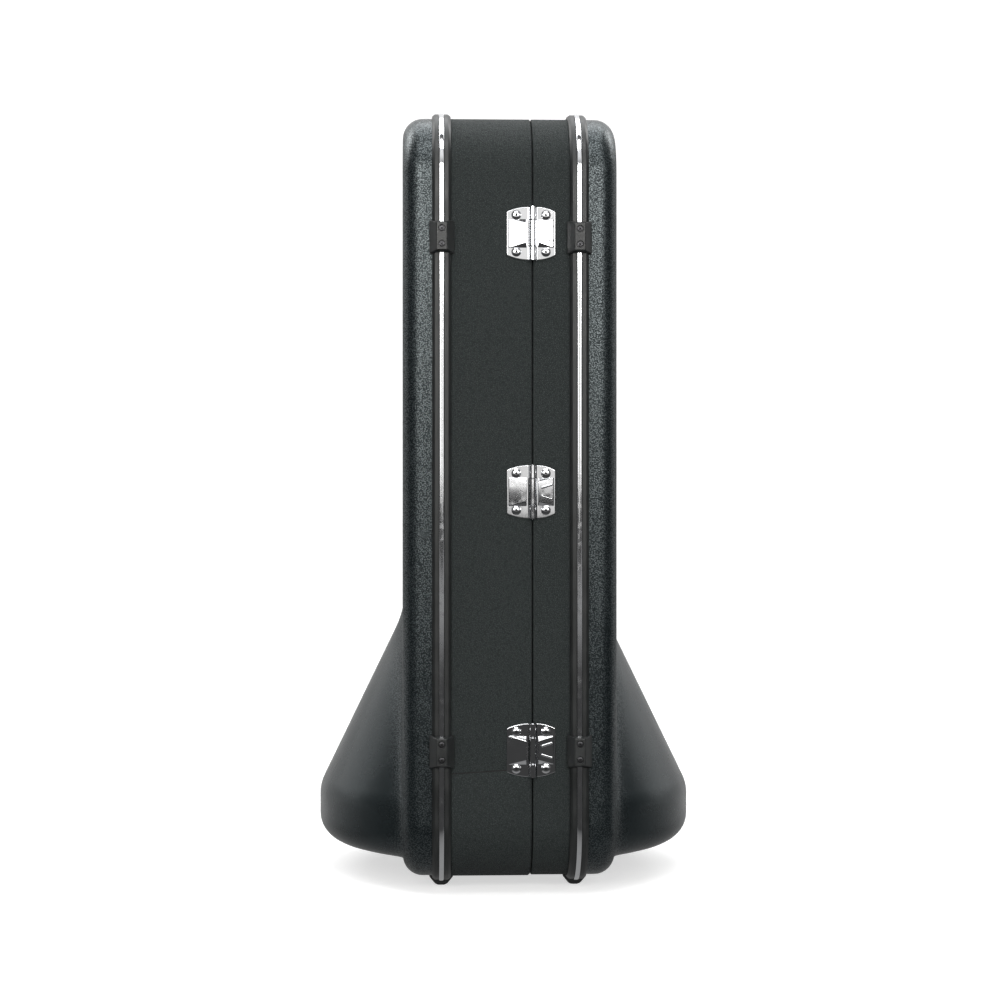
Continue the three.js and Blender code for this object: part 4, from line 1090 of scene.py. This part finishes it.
def make_handle():
    """The moulded grip, bowed outwards, with finger ridges inside and an eye at each end."""
    low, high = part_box("handle_grip")
    pivot = next(j for j in frame["joints"] if j["name"] == "handle_swing")["pos_m"]
    middle_z = (low.z + high.z) / 2
    half = (high.z - low.z) / 2 - GRIP_EYE_INSET
    bow = pivot[0] - low.x - GRIP_CLEARANCE - GRIP_SET
    out = Vector((0, 1, 0))
    for end, way in (("lower", -1), ("upper", 1)):
        make_mount(end, pivot, middle_z + way * half, way)
    rows = []
    for i in range(GRIP_STEPS + 1):
        t = 2 * i / GRIP_STEPS - 1
        x = pivot[0] - GRIP_SET - bow * (1 - abs(t) ** GRIP_BOW)
        centre = Vector((x, pivot[1], middle_z + half * t))
        slope = GRIP_BOW * abs(t) ** (GRIP_BOW - 1) * (1 if t > 0 else -1) * bow
        across = Vector((slope, 0, half)).normalized().cross(out)
        radius = GRIP_RADIUS * (1 - GRIP_TAPER * abs(t) ** GRIP_TAPER_POWER)
        ridge = FINGER_RIDGE * math.cos(t * RIDGE_WAVES * math.pi) * max(0, 1 - abs(t) / RIDGE_REACH)
        ring = []
        for a in around(GRIP_SIDES):
            wide = math.cos(a) * (radius - ridge * max(0, math.cos(a)))
            ring.append(centre + across * wide + out * math.sin(a) * radius * GRIP_FLATNESS)
        rows.append(ring)
    bm = bmesh.new()
    skin(bm, rows)
    for way in (-1, 1):
        lathe(bm, GRIP_EYE, (pivot[0], pivot[1], middle_z + way * half), (0, 0, 1), 24)
    grip = add_object("handle_grip_moulding", bm, [GRIP], "handle", 50)
    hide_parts("handle_grip")


PAD_GRID = 26
PAD_EDGE = 0.42
PAD_SQUARENESS = 5
PAD_ANGLE = 80
PAD_PULL = 0.018
PAD_START = 0.72
PAD_START_INSET = 4 * MM
PAD_VOXEL = 4 * MM
PAD_HELD = 1 * MM
PAD_PRESSURE = 4
PAD_STEPS = 20
PAD_CAP = 9 * MM
SEAM_DEPTH = 0.42
SEAM_WIDTH = 0.034
PIPING_RADIUS = 1.9 * MM
PIPING_RISE = 0.32
PIPING_PLACES = 144
PIPING_SIDES = 10


def crowned_block(low, high, back, inwards):
    """A pad's closed form before it is filled: flat at the back, crowned in front, sides pulled in."""
    middle, half = (low + high) / 2, (high - low) / 2
    wide, tall = half.y - PAD_START_INSET, half.z - PAD_START_INSET
    bm = bmesh.new()
    spots = [math.sin(math.pi / 2 * (2 * i / PAD_GRID - 1)) for i in range(PAD_GRID + 1)]
    rims = []
    for thickness in (0, PAD_START * 2 * half.x):
        grid = []
        for v in spots:
            row = []
            for u in spots:
                fall = (1 - abs(u) ** PAD_SQUARENESS) * (1 - abs(v) ** PAD_SQUARENESS)
                crown = PAD_EDGE + (1 - PAD_EDGE) * math.sqrt(fall)
                y = middle.y + wide * u * (1 - PAD_PULL * (1 - v * v))
                z = middle.z + tall * v * (1 - PAD_PULL * (1 - u * u))
                row.append(bm.verts.new((back + inwards * thickness * crown, y, z)))
            grid.append(row)
        for a, b in zip(grid, grid[1:]):
            for j in range(PAD_GRID):
                bm.faces.new((a[j], a[j + 1], b[j + 1], b[j]))
        right, left = [row[-1] for row in grid[1:]], [row[0] for row in grid[-2:0:-1]]
        rims.append(grid[0] + right + grid[-1][-2::-1] + left)
    under, over = rims
    for i in range(len(under)):
        j = (i + 1) % len(under)
        bm.faces.new((under[i], under[j], over[j], over[i]))
    return bm


def fill_pad(pad, back, inwards):
    """Blows the pad up with a short cloth simulation: its back is held, and no point moves far."""
    modified(pad, "REMESH", mode="VOXEL", voxel_size=PAD_VOXEL)
    vertices = pad.data.vertices
    held = pad.vertex_groups.new(name="held")
    held.add([v.index for v in vertices if (v.co.x - back) * inwards < PAD_HELD], 1.0, "REPLACE")
    cloth = pad.modifiers.new("filling", "CLOTH")
    cloth.settings.use_pressure = True
    cloth.settings.uniform_pressure_force = PAD_PRESSURE
    cloth.settings.effector_weights.gravity = 0
    cloth.settings.vertex_group_mass = "held"
    for step in range(1, PAD_STEPS + 1):
        bpy.context.scene.frame_set(step)
    graph = bpy.context.evaluated_depsgraph_get()
    blown = [v.co.copy() for v in pad.evaluated_get(graph).data.vertices]
    pad.modifiers.remove(cloth)
    bpy.context.scene.frame_set(1)
    for vertex, there in zip(vertices, blown):
        move = there - vertex.co
        vertex.co += move * min(1, PAD_CAP / max(move.length, WELD))
    pad.vertex_groups.clear()


def sew_pad(pad, low, high, back):
    """Fits the filled pad to its solid's box, and draws in the two channels sewn across it."""
    modified(pad, "SUBSURF", levels=1)
    vertices = pad.data.vertices
    middle, half = (low + high) / 2, (high - low) / 2
    spans = [(min(v.co[i] for v in vertices), max(v.co[i] for v in vertices)) for i in range(3)]
    for vertex in vertices:
        spot = Vector([low[i] + (high[i] - low[i]) * (vertex.co[i] - least) / (most - least)
                       for i, (least, most) in enumerate(spans)])
        channel = math.exp(-((abs(spot.z - middle.z) / half.z - 1 / 3) / SEAM_WIDTH) ** 2)
        spot.x = back + (spot.x - back) * (1 - SEAM_DEPTH * channel)
        vertex.co = spot
    for face in pad.data.polygons:
        face.use_smooth = True


def piping(pad, name, body, low, high, back, inwards):
    """A corded edge round the pad, laid against its widest points."""
    middle = (low + high) / 2
    widest = [0.0] * PIPING_PLACES
    for vertex in pad.data.vertices:
        y, z = vertex.co.y - middle.y, vertex.co.z - middle.z
        place_round = math.floor(math.atan2(z, y) / (2 * math.pi) * PIPING_PLACES) % PIPING_PLACES
        widest[place_round] = max(widest[place_round], math.hypot(y, z))
    x = back + inwards * PIPING_RISE * (high.x - low.x)
    line = []
    for i, reach in enumerate(widest):
        a = 2 * math.pi * (i + 0.5) / PIPING_PLACES
        reach = (widest[i - 1] + 2 * reach + widest[(i + 1) % PIPING_PLACES]) / 4 - PIPING_RADIUS
        line.append(Vector((x, middle.y + reach * math.cos(a), middle.z + reach * math.sin(a))))
    forward = Vector((1, 0, 0))
    rings = []
    for i, spot in enumerate(line):
        across = (line[(i + 1) % PIPING_PLACES] - line[i - 1]).normalized().cross(forward)
        rings.append(circle(spot, across, forward, PIPING_RADIUS, around(PIPING_SIDES)))
    cord = lofted(name, rings, PLUSH, body, PAD_ANGLE, closed_loft=True)


def cushion(node, name, body):
    """A filled pad with sewn channels and a corded edge."""
    low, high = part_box(node)
    inwards = -1 if low.x + high.x > 0 else 1
    back = high.x if inwards < 0 else low.x
    pad = add_object(name, crowned_block(low, high, back, inwards), [PLUSH], angle=PAD_ANGLE)
    fill_pad(pad, back, inwards)
    sew_pad(pad, low, high, back)
    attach(pad, body)
    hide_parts(node)
    piping(pad, f"{name}_piping", body, low, high, back, inwards)


NEST_PARTS = {
    # The body each part rides on, and how far its edges are rounded
    "tail_block": ("base", 3.5 * MM), "bell_pad": ("base", 5 * MM), "throat_cradle": ("base", 3.5 * MM),
    "accessory_box": ("base", 1.6 * MM), "accessory_lid": ("accessory_lid", 1.4 * MM),
}


def make_nest():
    """The lid's cushion, and the nest's blocks with their plush drawn over rounded edges."""
    cushion("lid_pad", "lid_pad_cushion", "lid")
    for node, (body, width) in NEST_PARTS.items():
        piece = from_node(node, f"{node}_plush", PLUSH, body, width, 4, 30)
    pin = from_node("accessory_pin", "accessory_pin_fine", CHROME, "base", 0.2 * MM)


# Stage, light and camera

STAGE_HALF = 14.0
STAGE_FRONT = -9.0
STAGE_BACK = 2.2
STAGE_CURVE = 1.6
STAGE_TOP = 9.0
STAGE_STEPS = 24


def make_stage():
    """A pale floor that runs up into a backdrop, far larger than the case."""
    profile = [(STAGE_FRONT, 0.0), *arc(STAGE_BACK, STAGE_CURVE, STAGE_CURVE, -1, 1, STAGE_STEPS),
               (STAGE_BACK + STAGE_CURVE, STAGE_TOP)]
    rows = [[(x, y, z) for y, z in profile] for x in (-STAGE_HALF, STAGE_HALF)]
    floor = lofted("floor", rows, floor_material(), None, 60, sheet=True)


def area_light(name, location, target, size, power, color=(1, 1, 1)):
    """A rectangular lamp, turned to its target."""
    data = bpy.data.lights.new(name, "AREA")
    data.shape = "RECTANGLE"
    data.size, data.size_y = size
    data.energy = power
    data.color = color
    lamp = placed(name, data)
    lamp.location = location
    lamp.rotation_euler = (Vector(target) - Vector(location)).to_track_quat("-Z", "Y").to_euler()


# The softboxes in front: left, right, bottom and top edge, then what they radiate.
# The narrow dim one is what the hinges' flat leaves mirror.
FRONT_Y = -3.0
FRONT_COLOR = (1, 0.985, 0.96)
FRONT_BOXES = {
    "front_left_low": (-1.8, -0.13, 0.42, 0.94, 1.4),
    "front_left_high": (-1.8, -0.13, 0.94, 1.75, 8.6),
    "front_middle": (-0.06, 0.38, 0.35, 1.75, 0.75),
    "front_right_low": (0.45, 1.8, 0.42, 0.94, 1.4),
    "front_right_high": (0.45, 1.8, 0.94, 1.75, 8.6),
}
LAMPS = {
    # Place, target, size, power, and a colour where it isn't white
    "brow": ((0, -1.1, 2.1), (0, -0.2, 0.6), (1.6, 0.5), 12),
    "left": ((-1.6, 0.6, 2.1), (0, 0, 0.3), (0.9, 1.2), 22),
    "right": ((1.6, 0.8, 2.1), (0, 0, 0.3), (0.9, 1.2), 15),
    "top": ((0, 0.4, 3.2), (0, 0, 0.4), (2.4, 2.4), 50, (0.97, 0.985, 1)),
}
ROOM_FILL = 0.62

# The room that glossy parts see: from and to along an axis, then how bright it is at both
ROOM_BEHIND = (-0.15, 0.85, 0.0, 0.9)
ROOM_ABOVE = (0.27, 0.6, 0.0, 0.75)
ROOM_BESIDE = (0.4, 0.8, 0.2, 0.95)
ROOM_LOW = (-0.03, 0.2, 0.2, 1.0)
ROOM_TO_BACK = (0.1, 0.8, 0.12, 1.0)
ROOM_TO_FRONT = (-0.75, -0.45, 1.0, 0.0)


def background(tree, strength):
    return add_node(tree, "ShaderNodeBackground", Color=(1, 1, 1, 1), Strength=strength)


def make_light():
    """An even room for diffuse light, a shaped one for glossy parts, softboxes in front and four lamps."""
    world = bpy.data.worlds.new("studio")
    bpy.context.scene.world = world
    world.use_nodes = True
    tree = world.node_tree
    tree.nodes.clear()
    path = tree.nodes.new("ShaderNodeLightPath").outputs
    toward = split_xyz(tree, tree.nodes.new("ShaderNodeTexCoord").outputs["Generated"])
    behind = remap(tree, toward["Y"], *ROOM_BEHIND)
    above = remap(tree, toward["Z"], *ROOM_ABOVE)
    beside = remap(tree, combine(tree, "ABSOLUTE", toward["X"]), *ROOM_BESIDE)
    beside = combine(tree, "MULTIPLY", beside, remap(tree, toward["Z"], *ROOM_LOW))
    # Bright in front and behind, dark to the sides, so that the bulge darkens towards the body
    lit = remap(tree, toward["Y"], *ROOM_TO_BACK)
    lit = combine(tree, "MAXIMUM", lit, remap(tree, toward["Y"], *ROOM_TO_FRONT))
    room = combine(tree, "MULTIPLY", combine(tree, "ADD", above, beside), lit)
    room = combine(tree, "MINIMUM", combine(tree, "ADD", room, behind), 1.0)
    mirrored = mix_shaders(tree, path["Is Glossy Ray"], background(tree, ROOM_FILL), background(tree, room))
    direct = combine(tree, "MAXIMUM", path["Is Camera Ray"], path["Is Transmission Ray"])
    mix = mix_shaders(tree, direct, mirrored, background(tree, 1.0))
    add_node(tree, "ShaderNodeOutputWorld", Surface=mix.outputs[0])
    for name, (x0, x1, z0, z1, radiance) in FRONT_BOXES.items():
        width, height = x1 - x0, z1 - z0
        x, z = (x0 + x1) / 2, (z0 + z1) / 2
        power = radiance * width * height * math.pi
        area_light(name, (x, FRONT_Y, z), (x, 0, z), (width, height), power, FRONT_COLOR)
    for name, lamp in LAMPS.items():
        area_light(name, *lamp)


CAMERA_YAW = math.radians(2.1)
CAMERA_REACH = 2.0
CAMERA_SIDE = 0.0104
CAMERA_HEIGHT = 0.3895
CAMERA_LENS = 73.5
CAMERA_SENSOR = 36


def make_camera():
    """The photographer's camera: level, and a little off the spine's own direction."""
    ahead = Vector((math.sin(CAMERA_YAW), math.cos(CAMERA_YAW), 0))
    right = Vector((math.cos(CAMERA_YAW), -math.sin(CAMERA_YAW), 0))
    data = bpy.data.cameras.new("camera")
    data.lens = CAMERA_LENS
    data.sensor_width = CAMERA_SENSOR
    camera = placed("camera", data)
    camera.location = Vector((0, SPINE_Y, CAMERA_HEIGHT)) - ahead * CAMERA_REACH - right * CAMERA_SIDE
    camera.rotation_euler = (math.pi / 2, 0, -CAMERA_YAW)
    bpy.context.scene.camera = camera


bpy.context.scene.view_settings.view_transform = "Standard"
make_camera()
make_light()
make_stage()
for half_name, half_side in HALVES.items():
    make_shell(half_name, half_side)
    make_lining(half_name, half_side)
    make_frame(half_name, half_side)
    make_trims(half_name, half_side)
    make_clips(half_name)
make_lap()
make_lip()
for hinge_station in HINGES:
    make_hinge(hinge_station)
make_latches()
make_handle()
make_nest()
